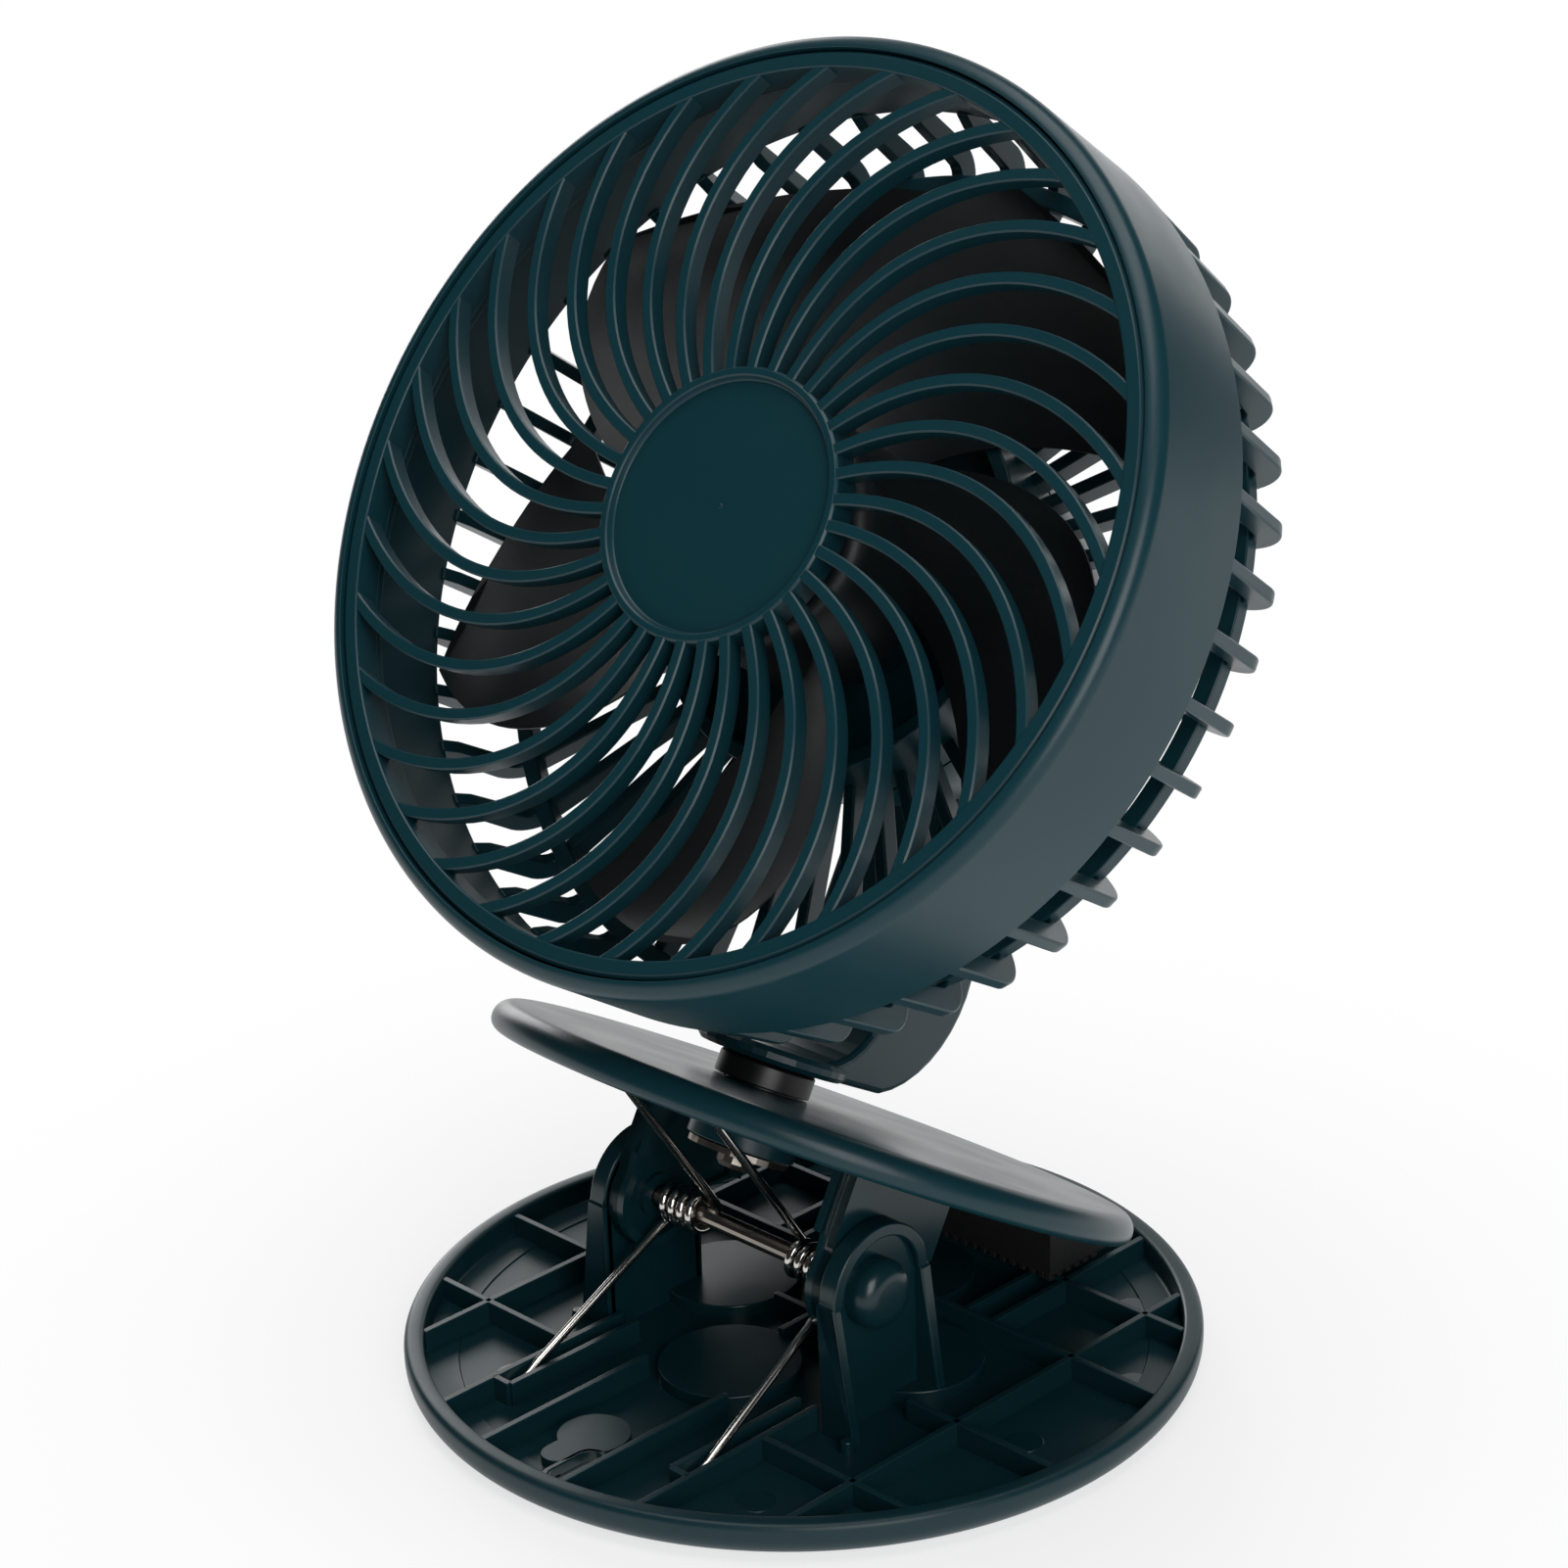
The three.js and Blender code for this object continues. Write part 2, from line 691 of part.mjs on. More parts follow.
function neckScrew() {
  const seat = bossLow - 2 * gap - 1;
  const body = turned([
    [0, seat - 2],
    [2.4, seat - 2],
    [3.1, seat - 1.2],
    [3.1, seat],
    [1.1, seat],
    [1.1, seat + 8],
    [0, seat + 8.4],
  ], 12);
  return body.subtract(crossSlot(3, seat - 3, seat - 1));
}

// A cross-shaped driver recess.
const crossSlot = (width, low, high) => join([
  box(-0.35, 0.35, -width / 2, width / 2, low, high),
  box(-width / 2, width / 2, -0.35, 0.35, low, high),
]);

const armLow = neckTop + gap;
const armFootTop = armLow + armFootThickness;

// Side view of the arm: foot over the neck, a large elbow, and the upright with its round end.
function armOutline() {
  const elbow = Math.asin((armLow - armElbowZ) / armElbow);
  const crook = Math.asin((armFootTop - armCrookZ) / armCrook);
  return [
    [-4, armLow],
    ...arc(armElbowY, armElbowZ, armElbow, elbow, 0, 8),
    [armTaperY, armTaperZ],
    ...arc(pivotY, pivotZ, knuckleRadius, 0, Math.PI, 12),
    ...arc(armInner - armCrook, armCrookZ, armCrook, 0, crook, 6),
    [-4, armFootTop],
  ];
}

// The cover closes the arm's hollow on the side that faces the head.
const coverLow = armCrookZ + 2;
const coverHigh = pivotZ - 12;
const coverThick = 1.6;

function armShell() {
  const half = armHalfWidth;
  const foot = turned([
    [0, armLow],
    [armFootRadius - 0.8, armLow],
    [armFootRadius, armLow + 0.8],
    [armFootRadius, armFootTop - 0.8],
    [armFootRadius - 0.8, armFootTop],
    [0, armFootTop],
  ], 32);
  const hollow = sideways([
    [armInner - 4, coverLow + 9],
    [armOuter - armWall, coverLow + 9],
    [armTaperY - armWall, coverHigh - 9],
    [armInner - 4, coverHigh - 9],
  ], -half + armWall + 1.2, half - armWall - 1.2);
  const rebate = box(-half + armWall - gap, half - armWall + gap,
    armInner - 5, armInner + coverThick + gap, coverLow - gap, coverHigh + gap);
  const fork = box(-forkHalf, forkHalf, armInner - 9, armOuter + 9, pivotZ - 12, pivotZ + 20);
  const bore = rod(pivotRadius + 0.1, -half - 1, half + 1, 16, 'x');
  const seat = rod(3.7, half - 1.3, half + 1, 16, 'x');
  const hinge = moved(join([bore, seat, seat.mirror([1, 0, 0])]), 0, pivotY, pivotZ);
  const socket = rod(neckTenon + gap, armLow - 1, armLow + 1.9, 24);
  const pilots = armScrewZ.map((z) => moved(rod(1.3, 0, 9, 12, 'y'), 0, armInner, z));
  const outside = join([foot, sideways(armOutline(), -half, half, armBevel)
    .intersect(rod(armFootRadius, 0, 200, 32).add(box(-60, 60, 0, 60, 0, 200)))]);
  return cut(outside, [hollow, rebate, fork, hinge, socket, ...pilots]);
}

function armCover() {
  const half = armHalfWidth - armWall;
  const face = box(-half, half, armInner, armInner + coverThick, coverLow, coverHigh);
  const holes = armScrewZ.map((z) => moved(turned([
    [0, -1],
    [2.1, -1],
    [2.1, 0.2],
    [1.3, 1],
    [1.3, 3],
    [0, 3],
  ], 12, 'y'), 0, armInner, z));
  return cut(face, holes);
}

function armScrew() {
  const body = turned([
    [0, 0.1],
    [1.8, 0.1],
    [1.8, 0.25],
    [1, 1],
    [1, 7],
    [0, 7.6],
  ], 10, 'y');
  return body;
}

function tiltPin() {
  const end = armHalfWidth - 0.2;
  return turned([
    [0, -end],
    [3.1, -end],
    [3.4, -end + 0.3],
    [3.4, -end + 0.8],
    [pivotRadius, -end + 0.8],
    [pivotRadius, end - 0.8],
    [3.4, end - 0.8],
    [3.4, end - 0.3],
    [3.1, end],
    [0, end],
  ], 16, 'x');
}

function tiltWasher(side) {
  const inner = lugHalf + gap;
  const washer = ring(pivotRadius + 0.2, 5.5, inner, inner + washerThickness, 16, 'x');
  return side > 0 ? washer : washer.mirror([1, 0, 0]);
}

// ---------------------------------------------------------------- head
// The head's frame: origin at the centre of the grille's front plane, Y to the rear, Z up.
const cageTip = drumRadius - cageTaper;
const coverFront = cageDepth + 1 + gap;

function drumWallRing() {
  const inner = drumRadius - drumWall;
  const seat = grilleRadius + gap;
  const ledge = grilleDepth + gap;
  return turned([
    [seat, lipRadius - 0.3],
    [seat, ledge],
    [seat - grilleBand, ledge],
    [seat - grilleBand, ledge + 1.2],
    [inner, ledge + 2.4],
    [inner, drumDepth],
    [drumRadius - 0.2, drumDepth],
    ...arc(drumRadius - lipRadius, lipRadius - 0.3, lipRadius, 0, -Math.PI / 2, 3),
    [seat, lipRadius - 0.3],
  ], headSteps, 'y');
}

// One cage rib: along the drum, round the corner, and in to the cup at the middle.
function cageRib(index) {
  const outer = cageTip;
  const r = cageCorner;
  const outline = [
    [drumRadius - 0.9, drumDepth - 1],
    [drumRadius - 0.4, drumDepth + 1],
    ...arc(outer - r, cageDepth - r, r, 0, Math.PI / 2, 2),
    [cupRadius - 1, cageDepth],
    [cupRadius - 1, cageDepth - cageRibDepth],
    [outer - cageRibDepth, cageDepth - cageRibDepth],
    [drumRadius - drumWall - 1.6, drumDepth + 2],
    [drumRadius - drumWall + 0.6, drumDepth - 1],
  ];
  const shape = new THREE.Shape(outline.map(([a, b]) => new THREE.Vector2(a, b)));
  const body = new THREE.ExtrudeGeometry(shape, { depth: cageRibWidth, bevelEnabled: false });
  body.translate(0, 0, -cageRibWidth / 2);
  body.rotateY(-(cageRibPhase + (2 * Math.PI * index) / cageRibs));
  return solid(body);
}

const screwCorners = [-1, 1].flatMap((sx) => [-1, 1].map((sz) => [sx * screwPlace, sz * screwPlace]));
const atCorners = (body) => screwCorners.map(([x, z]) => moved(body, x, 0, z));

function drumCage() {
  const ribs = Array.from({ length: cageRibs }, (_, i) => cageRib(i));
  const half = cageRingWidth / 2;
  const band = ring(cageRingRadius - half, cageRingRadius + half,
    cageDepth - cageRibDepth + 0.6, cageDepth - 0.8, headSteps, 'y');
  const cup = turned([
    [0, platePlace],
    [cupRadius - cupWall, platePlace],
    [cupRadius - cupWall, cageDepth - cupDepth],
    [cupRadius, cageDepth - cupDepth],
    [cupRadius, cageDepth + 1],
    [0, cageDepth + 1],
  ], 24, 'y');
  const cradle = ring(motorRadius + gap, motorRadius + 2.2, platePlace - 7, platePlace + 0.5, 20, 'y');
  const spigot = ring(cupRadius - coverWall - 2.2, cupRadius - coverWall - gap,
    cageDepth, cageDepth + 3, 32, 'y');
  return cut(join([drumWallRing(), band, cup, cradle, spigot, ...ribs]),
    atCorners(rod(1.2, platePlace - 5, cageDepth + 5, 8, 'y')));
}

// One spiral spoke of the front grille, swept from the hub to the ring.
function spoke(index) {
  const from = hubRadius - 1;
  const to = grilleRadius - 1;
  const stations = spokeStations;
  const start = spokePhase - spokeSweep + (2 * Math.PI * index) / spokes;
  const place = (share) => {
    const radius = from + (to - from) * share;
    const turn = start + spokeSweep * Math.max(0, share) ** spokePower;
    return [radius * Math.sin(turn), radius * Math.cos(turn)];
  };
  const rings = [];
  for (let i = 0; i <= stations; i += 1) {
    const share = i / stations;
    const [x, z] = place(share);
    const [xa, za] = place(Math.max(share - 0.02, 0));
    const [xb, zb] = place(share + 0.02);
    const length = Math.hypot(xb - xa, zb - za);
    const side = [(zb - za) / length, -(xb - xa) / length];
    const front = spokeWidth / 2;
    const rear = 0.36 * spokeWidth;
    const at = (offset, depth) => [x + side[0] * offset, depth, z + side[1] * offset];
    rings.push([at(-front, 0.2), at(front, 0.2), at(rear, grilleDepth), at(-rear, grilleDepth)]);
  }
  return skin(rings);
}

function frontGrille() {
  const band = turned([
    [grilleRadius - grilleBand, 0],
    [grilleRadius - 0.4, 0],
    [grilleRadius, 0.4],
    [grilleRadius, grilleDepth],
    [grilleRadius - grilleBand, grilleDepth],
    [grilleRadius - grilleBand, 0],
  ], headSteps, 'y');
  const hub = turned([
    [0, hubRecess],
    [hubRadius - hubLip, hubRecess],
    [hubRadius - hubLip + 0.3, 0.1],
    [hubRadius - 0.4, 0.1],
    [hubRadius, 0.5],
    [hubRadius, grilleDepth],
    [hubRadius - 1.6, grilleDepth],
    [hubRadius - 1.6, hubRecess + 1.8],
    [0, hubRecess + 1.8],
  ], 34, 'y');
  const bars = Array.from({ length: spokes }, (_, i) => spoke(i));
  return join([band, hub, ...bars]);
}

// ---------------------------------------------------------------- motor and impeller
function motor() {
  const back = platePlace - gap;
  return turned([
    [0, motorFront - 1.6],
    [3.2, motorFront - 1.6],
    [3.2, motorFront],
    [motorRadius - 1, motorFront],
    [motorRadius, motorFront + 1],
    [motorRadius, back - 0.5],
    [motorRadius - 0.5, back],
    [0, back],
  ], 24, 'y').subtract(rod(shaftRadius + 0.1, motorFront - 5, motorFront + 9, 24, 'y'));
}

const shaft = () => rod(shaftRadius, rotorFront + 2.4, motorFront + 8, 24, 'y');

function blade(index) {
  const radialSteps = 5;
  const chordSteps = 5;
  const tip = bladeTip;
  const root = rotorHubRadius - 1;
  const turn = bladePhase + (2 * Math.PI * index) / bladeCount;
  const grid = [];
  for (let i = 0; i <= radialSteps; i += 1) {
    const share = i / radialSteps;
    const radius = root + (tip - root) * share;
    const span = (32 + 20 * Math.sin(Math.PI * (0.12 + 0.6 * share)) - 10 * share ** 6) * rad;
    const lead = turn + (6 + 16 * share) * rad - span / 2;
    const row = [];
    for (let k = 0; k <= chordSteps; k += 1) {
      const along = k / chordSteps;
      const angle = lead + span * along;
      const rise = (rotorBack - rotorFront - 4) * (0.95 - 0.2 * share);
      const depth = rotorFront + 2 + rise * (along + 0.10 * Math.sin(Math.PI * along));
      const thin = bladeThickness * (1 - 0.35 * share) * (0.55 + 0.45 * Math.sin(Math.PI * along));
      row.push({ radius, angle, depth, thin });
    }
    grid.push(row);
  }
  const rings = grid.map((row) => {
    const face = (sign) => row.map(({ radius, angle, depth, thin }) => [
      radius * Math.sin(angle), depth + (sign * thin) / 2, radius * Math.cos(angle)]);
    return [...face(-1), ...face(1).reverse()];
  });
  return skin(rings);
}

function impeller() {
  const wall = 1.8;
  const hub = turned([
    [0, rotorFront],
    [rotorHubRadius - 3, rotorFront],
    [rotorHubRadius - 0.8, rotorFront + 1],
    [rotorHubRadius, rotorFront + 3.4],
    [rotorHubRadius, rotorBack],
    [rotorHubRadius - wall, rotorBack],
    [rotorHubRadius - wall, rotorFront + 3.6],
    [rotorHubRadius - wall - 1.4, rotorFront + 2.2],
    [3.6, rotorFront + 2.2],
    [3.6, motorFront - 2.4],
    [0, motorFront - 2.4],
  ], 30, 'y');
  const bore = rod(shaftRadius + 0.05, rotorFront + 2.2, motorFront, 24, 'y');
  const blades = Array.from({ length: bladeCount }, (_, i) => blade(i));
  return cut(join([hub, ...blades]), [bore]).subtract(
    ring(3.6, rotorHubRadius - wall - 0.2, rotorFront + 3.8, rotorBack + 5, 30, 'y'));
}

// ---------------------------------------------------------------- rear housing
const coverRadius = cupRadius;

function rearCover() {
  const r = 5;
  const outside = [
    [coverRadius, coverFront],
    [coverRadius, coverFront + 6],
    ...arc(coverRadius - 3 - r, coverBack - r, r, 0.1, Math.PI / 2, 3),
    [0, coverBack],
  ];
  const inside = [
    [0, coverBack - coverWall],
    ...arc(coverRadius - 3 - r, coverBack - r, r - coverWall, Math.PI / 2, 0.1, 2),
    [coverRadius - coverWall, coverFront + 6],
    [coverRadius - coverWall, coverFront],
    [coverRadius, coverFront],
  ];
  const shell = turned([...outside, ...inside], 32, 'y');
  const lug = sideways([
    [coverBack - 1, -lugRadius],
    ...arc(pivotDepth, 0, lugRadius, -Math.PI / 2, Math.PI / 2, 8),
    [coverBack - 1, lugRadius],
  ], -lugHalf, lugHalf);
  const posts = atCorners(rod(3.5, coverFront, coverBack - 1, 12, 'y'));
  const wells = atCorners(join([
    rod(2.5, coverBack - 8, coverBack + 5, 12, 'y'),
    rod(1.4, coverFront - 1, coverBack, 12, 'y'),
  ]));
  const button = moved(rod(buttonRadius + gap, coverBack - 4, coverBack + 4, 24, 'y'), 0, 0, buttonZ);
  const light = moved(rod(1.2 + gap, coverBack - 4, coverBack + 4, 12, 'y'), lightX, 0, buttonZ);
  const bore = moved(rod(pivotRadius + 0.2, -20, 20, 16, 'x'), 0, pivotDepth, 0);
  const port = box(-coverRadius - 2, -coverRadius + 8,
    portDepth - 1.9, portDepth + 1.9, -4.9, 4.9);
  return cut(join([shell, lug, ...posts]), [...wells, button, light, bore, port]);
}

function coverScrew() {
  const seat = coverBack - 8 - gap;
  const body = turned([
    [0, seat - 15],
    [1.05, seat - 14],
    [1.05, seat + gap],
    [2.1, seat + 2 * gap],
    [2.1, seat + 1.8],
    [1.6, seat + 2.4],
    [0, seat + 2.4],
  ], 12, 'y');
  return body;
}

function speedButton() {
  const face = coverBack + 0.9;
  return moved(turned([
    [0, coverBack - 5],
    [2.2, coverBack - 5],
    [2.2, coverBack - 3.6],
    [buttonRadius + 1.4, coverBack - 3.6],
    [buttonRadius + 1.4, coverBack - 2.3],
    [buttonRadius, coverBack - 2.3],
    [buttonRadius, face - 0.7],
    [buttonRadius - 0.7, face],
    [0, face],
  ], 24, 'y'), 0, 0, buttonZ);
}

function lightPipe() {
  return moved(turned([
    [0, coverBack - 6],
    [2, coverBack - 6],
    [2, coverBack - coverWall - gap],
    [1.2, coverBack - coverWall - gap],
    [1.2, coverBack - 0.2],
    [0, coverBack + 0.2],
  ], 12, 'y'), lightX, 0, buttonZ);
}

const circuitBoard = () =>
  box(-screwPlace + 3.9, screwPlace - 3.9, coverBack - 8, coverBack - 6.4, 5, 23);

function battery() {
  const halfX = 22;
  const halfZ = 12;
  const r = 2.5;
  const low = coverFront;
  const outline = [
    ...arc(halfX - r, halfZ - r, r, 0, Math.PI / 2, 3),
    ...arc(-halfX + r, halfZ - r, r, Math.PI / 2, Math.PI, 3),
    ...arc(-halfX + r, -halfZ + r, r, Math.PI, 1.5 * Math.PI, 3),
    ...arc(halfX - r, -halfZ + r, r, 1.5 * Math.PI, 2 * Math.PI, 3),
  ];
  return upwards(outline, 0, 7).rotate([90, 0, 0]).translate([0, low + 7, -0.5]);
}

function chargePort() {
  const tube = (from, to, halfY, halfZ) =>
    box(-coverRadius + from, -coverRadius + to, portDepth - halfY, portDepth + halfY, -halfZ, halfZ);
  return tube(1.6, 9, 1.6, 4.6).subtract(tube(0, 7.5, 1.1, 4));
}

// ---------------------------------------------------------------- assembly
const fan = new THREE.Group();
const lever = new THREE.Group();
lever.position.set(0, pinY, pinZ);
lever.rotation.x = -leverTilt;
const swivel = new THREE.Group();
swivel.position.set(0, neckY, swivelRise);
swivel.rotation.z = swivelRest;
const head = new THREE.Group();
head.position.set(0, headY, headZ);
head.rotation.x = -headTilt;

// Adds a piece to a group, at a place in the group's own frame.
function put(group, name, body, material, place = [0, 0, 0]) {
  const mesh = piece(name, body, material);
  mesh.position.set(...place);
  group.add(mesh);
}

fan.add(lever);
lever.add(swivel);
swivel.add(head);

put(fan, 'base_tray', baseTray(), tealGloss());
discPlaces.forEach(([x, y], i) => put(fan, `foot_pad_${i + 1}`, footPad(), rubber(), [x, y, 0]));
put(fan, 'pivot_pin', pivotPin(), steel(), [0, pinY, pinZ]);
put(fan, 'torsion_spring_right', torsionSpring(1), nickel());
put(fan, 'torsion_spring_left', torsionSpring(-1), nickel());

put(lever, 'clip_lever', topPlate(), tealSatin());
put(lever, 'jaw_pad', jawPad(), rubber());

const onNeck = [0, 0, -swivelRise];
put(swivel, 'swivel_neck', neck(), blackMatte(), onNeck);
put(swivel, 'swivel_washer', neckWasher(), steel(), onNeck);
put(swivel, 'swivel_screw', neckScrew(), steel(), onNeck);
put(swivel, 'arm_shell', armShell(), tealSatin());
put(swivel, 'arm_cover', armCover(), tealSatin());
armScrewZ.forEach((z, i) => put(swivel, `arm_screw_${i + 1}`, armScrew(), steel(), [0, armInner, z]));
put(swivel, 'tilt_pin', tiltPin(), steel(), [0, pivotY, pivotZ]);
put(swivel, 'tilt_washer_right', tiltWasher(1), steel(), [0, pivotY, pivotZ]);
put(swivel, 'tilt_washer_left', tiltWasher(-1), steel(), [0, pivotY, pivotZ]);

put(head, 'drum_cage', drumCage(), tealSatin());
put(head, 'front_grille', frontGrille(), tealSatin());
put(head, 'motor', motor(), steel());
put(head, 'motor_shaft', shaft(), nickel());
put(head, 'impeller', impeller(), blackMatte());
put(head, 'rear_cover', rearCover(), tealSatin());
put(head, 'speed_button', speedButton(), blackMatte());
put(head, 'led_light_pipe', lightPipe(), clear());
put(head, 'circuit_board', circuitBoard(), board());
put(head, 'battery_pack', battery(), sleeve());
put(head, 'usb_port', chargePort(), nickel());
screwCorners.forEach(([x, z], i) =>
  put(head, `rear_cover_screw_${i + 1}`, coverScrew(), steel(), [x, 0, z]));

export default fan;
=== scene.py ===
# %% [markdown]
# # A clip fan in dark teal plastic
#
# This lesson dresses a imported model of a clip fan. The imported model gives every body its
# place. Large round pieces are built again here as finely turned forms, small pieces keep
# their shape and get soft edges, and every surface gets a procedural material.

# %%
import math

import bmesh
import bpy
from mathutils import Matrix, Vector


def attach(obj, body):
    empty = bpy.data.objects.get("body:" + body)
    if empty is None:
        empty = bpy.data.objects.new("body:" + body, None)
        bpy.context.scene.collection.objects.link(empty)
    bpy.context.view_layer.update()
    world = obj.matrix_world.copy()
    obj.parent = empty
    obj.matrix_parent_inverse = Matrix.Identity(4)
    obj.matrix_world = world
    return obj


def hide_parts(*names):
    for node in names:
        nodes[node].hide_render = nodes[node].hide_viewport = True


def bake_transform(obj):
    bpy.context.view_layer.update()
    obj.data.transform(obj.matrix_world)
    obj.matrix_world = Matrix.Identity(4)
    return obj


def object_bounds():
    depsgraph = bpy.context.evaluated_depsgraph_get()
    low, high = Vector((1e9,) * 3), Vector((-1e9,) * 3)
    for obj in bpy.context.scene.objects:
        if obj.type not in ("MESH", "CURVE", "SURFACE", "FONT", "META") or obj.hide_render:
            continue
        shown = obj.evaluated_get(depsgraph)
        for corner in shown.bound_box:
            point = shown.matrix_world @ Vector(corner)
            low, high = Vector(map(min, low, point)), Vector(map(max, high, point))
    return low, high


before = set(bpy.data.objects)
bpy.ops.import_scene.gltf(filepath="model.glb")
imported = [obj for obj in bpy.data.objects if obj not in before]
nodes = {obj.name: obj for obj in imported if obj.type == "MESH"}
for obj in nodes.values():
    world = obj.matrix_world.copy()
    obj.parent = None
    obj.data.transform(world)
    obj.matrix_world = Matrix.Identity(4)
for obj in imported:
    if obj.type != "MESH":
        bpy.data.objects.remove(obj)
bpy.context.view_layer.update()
MM = 0.001
rad = math.radians

# %% [markdown]
# ## 1. The sizes
#
# These are the fan's own sizes, in millimetres and degrees. The lever and the head each have
# a frame of their own, so that their pieces can be described squarely: the lever's lies on
# the pin, and the head's has its front at depth 0 with the depth running back along y.

# %%
GAP = 0.3
BASE_R, BASE_H, BASE_RIM, BASE_FLOOR = 66.0, 6.0, 3.3, 1.8
RIB_TOP, HALF_RIB = 5.5, 0.65
DISC_R, DISC_TOP, FOOT_R = 11.9, 3.7, 10.6
PIN_Y, PIN_Z, PIN_R = -11.5, 24.3, 1.6
PLATE_R, PLATE_AHEAD, PLATE_RISE = 55.0, 5.4, 18.2
PLATE_H, PLATE_CROWN, PLATE_WALL, PLATE_SKIN = 5.2, 0.4, 4.5, 1.8
BOSS_DROP, NECK_BACK, SWIVEL_RISE = 4.6, 15.0, 26.6
WIRE_R, WIRE_RISE, WIRE_FOOT_X = 0.75, 56.5, 20.75
DRUM_R, DRUM_WALL, DRUM_DEPTH = 75.2, 2.4, 24.2
CAGE_DEPTH, CAGE_TAPER, CAGE_RIBS, FIRST_RIB = 43.5, 1.4, 45, 3.3
GRILLE_R, GRILLE_DEPTH, HUB_R, SPOKES = 72.3, 5.0, 21.7, 34
SPOKE_SWEEP, SPOKE_CURVE, SPOKE_DEPTH = 32.6, 1.74, 3.6
ROTOR_R, ROTOR_FRONT, ROTOR_BACK = 20.0, 10.5, 31.0
BLADES, BLADE_TIP = 5, 63.5
COVER_R, COVER_FRONT, COVER_BACK, SCREW_AT = 33.0, 44.8, 66.0, 17
LUG_DEPTH, LUG_R = 78.5, 8.2
LEVER_TILT, SWIVEL_TURN, HEAD_TILT = -30, 3.5, -2.8
HEAD_SHIFT = (0, -57.5, 79.2)

LEVER = Matrix.Translation((0, PIN_Y, PIN_Z)) @ Matrix.Rotation(rad(LEVER_TILT), 4, "X")
SWIVEL = (LEVER @ Matrix.Translation((0, PLATE_AHEAD - NECK_BACK, SWIVEL_RISE))
          @ Matrix.Rotation(rad(SWIVEL_TURN), 4, "Z"))
HEAD = SWIVEL @ Matrix.Translation(HEAD_SHIFT) @ Matrix.Rotation(rad(HEAD_TILT), 4, "X")
WORLD = Matrix.Identity(4)
print("head centre, mm:", [round(v, 1) for v in HEAD.translation])

# %% [markdown]
# ## 2. Masks and bumps shared by the materials
#
# A moulded plastic surface has a fine even grain, and handling leaves faint smudges. Each
# of these is a small node group. The grain gives a normal, and the smudges give a roughness
# between the two values that a material asks for.

# %%
GRAIN_HEIGHT, SMUDGE_SCALE = 0.00004, 55.0


def new_group(name, inputs, outputs):
    group = bpy.data.node_groups.new(name, "ShaderNodeTree")
    for label, kind, value in inputs:
        socket = group.interface.new_socket(label, in_out="INPUT", socket_type=kind)
        if value is not None:
            socket.default_value = value
    for label, kind in outputs:
        group.interface.new_socket(label, in_out="OUTPUT", socket_type=kind)
    return group, group.nodes.new("NodeGroupInput"), group.nodes.new("NodeGroupOutput")


def noise_node(tree, detail):
    place = tree.nodes.new("ShaderNodeTexCoord")
    node = tree.nodes.new("ShaderNodeTexNoise")
    node.inputs["Detail"].default_value = detail
    tree.links.new(place.outputs["Object"], node.inputs["Vector"])
    return node


def grain_group():
    group, given, result = new_group(
        "moulded grain",
        [("Scale", "NodeSocketFloat", 4000.0), ("Strength", "NodeSocketFloat", 0.1)],
        [("Normal", "NodeSocketVector")])
    noise = noise_node(group, 2.0)
    bump = group.nodes.new("ShaderNodeBump")
    bump.inputs["Distance"].default_value = GRAIN_HEIGHT
    group.links.new(given.outputs["Scale"], noise.inputs["Scale"])
    group.links.new(noise.outputs["Fac"], bump.inputs["Height"])
    group.links.new(given.outputs["Strength"], bump.inputs["Strength"])
    group.links.new(bump.outputs["Normal"], result.inputs["Normal"])
    return group


def smudge_group():
    group, given, result = new_group(
        "handling marks",
        [("Low", "NodeSocketFloat", 0.3), ("High", "NodeSocketFloat", 0.4)],
        [("Roughness", "NodeSocketFloat")])
    noise = noise_node(group, 5.0)
    noise.inputs["Scale"].default_value = SMUDGE_SCALE
    spread = group.nodes.new("ShaderNodeMapRange")
    spread.inputs["From Min"].default_value = 0.35
    spread.inputs["From Max"].default_value = 0.65
    group.links.new(noise.outputs["Fac"], spread.inputs["Value"])
    group.links.new(given.outputs["Low"], spread.inputs["To Min"])
    group.links.new(given.outputs["High"], spread.inputs["To Max"])
    group.links.new(spread.outputs["Result"], result.inputs["Roughness"])
    return group


GRAIN = grain_group()
SMUDGE = smudge_group()
print("groups:", GRAIN.name, SMUDGE.name)

# %% [markdown]
# ## 3. The materials
#
# The teal plastic comes in three finishes: satin on the lever's plate, the arm and the head,
# a duller one in the tray, and a glossy one on the uprights, the tray's discs, marks and
# opening, and the lever's ears and bars. The tray's teal and the glossy teal are also painted
# darker than the satin teal, as painted shade for the base, which the lamps reach mostly from
# the side. The other surfaces are near-black plastic, rubber, bright plated wire, plain steel,
# and the small parts' own colours.

# %%
def material(name, color, low, high, metallic=0.0, grain=0.0, grain_scale=4000.0,
             specular=0.5):
    mat = bpy.data.materials.new(name)
    mat.use_nodes = True
    tree = mat.node_tree
    shader = tree.nodes["Principled BSDF"]
    shader.inputs["Base Color"].default_value = (*color, 1)
    shader.inputs["Metallic"].default_value = metallic
    shader.inputs["Specular IOR Level"].default_value = specular
    marks = tree.nodes.new("ShaderNodeGroup")
    marks.node_tree = SMUDGE
    marks.inputs["Low"].default_value = low
    marks.inputs["High"].default_value = high
    tree.links.new(marks.outputs["Roughness"], shader.inputs["Roughness"])
    if grain:
        bump = tree.nodes.new("ShaderNodeGroup")
        bump.node_tree = GRAIN
        bump.inputs["Scale"].default_value = grain_scale
        bump.inputs["Strength"].default_value = grain
        tree.links.new(bump.outputs["Normal"], shader.inputs["Normal"])
    return mat


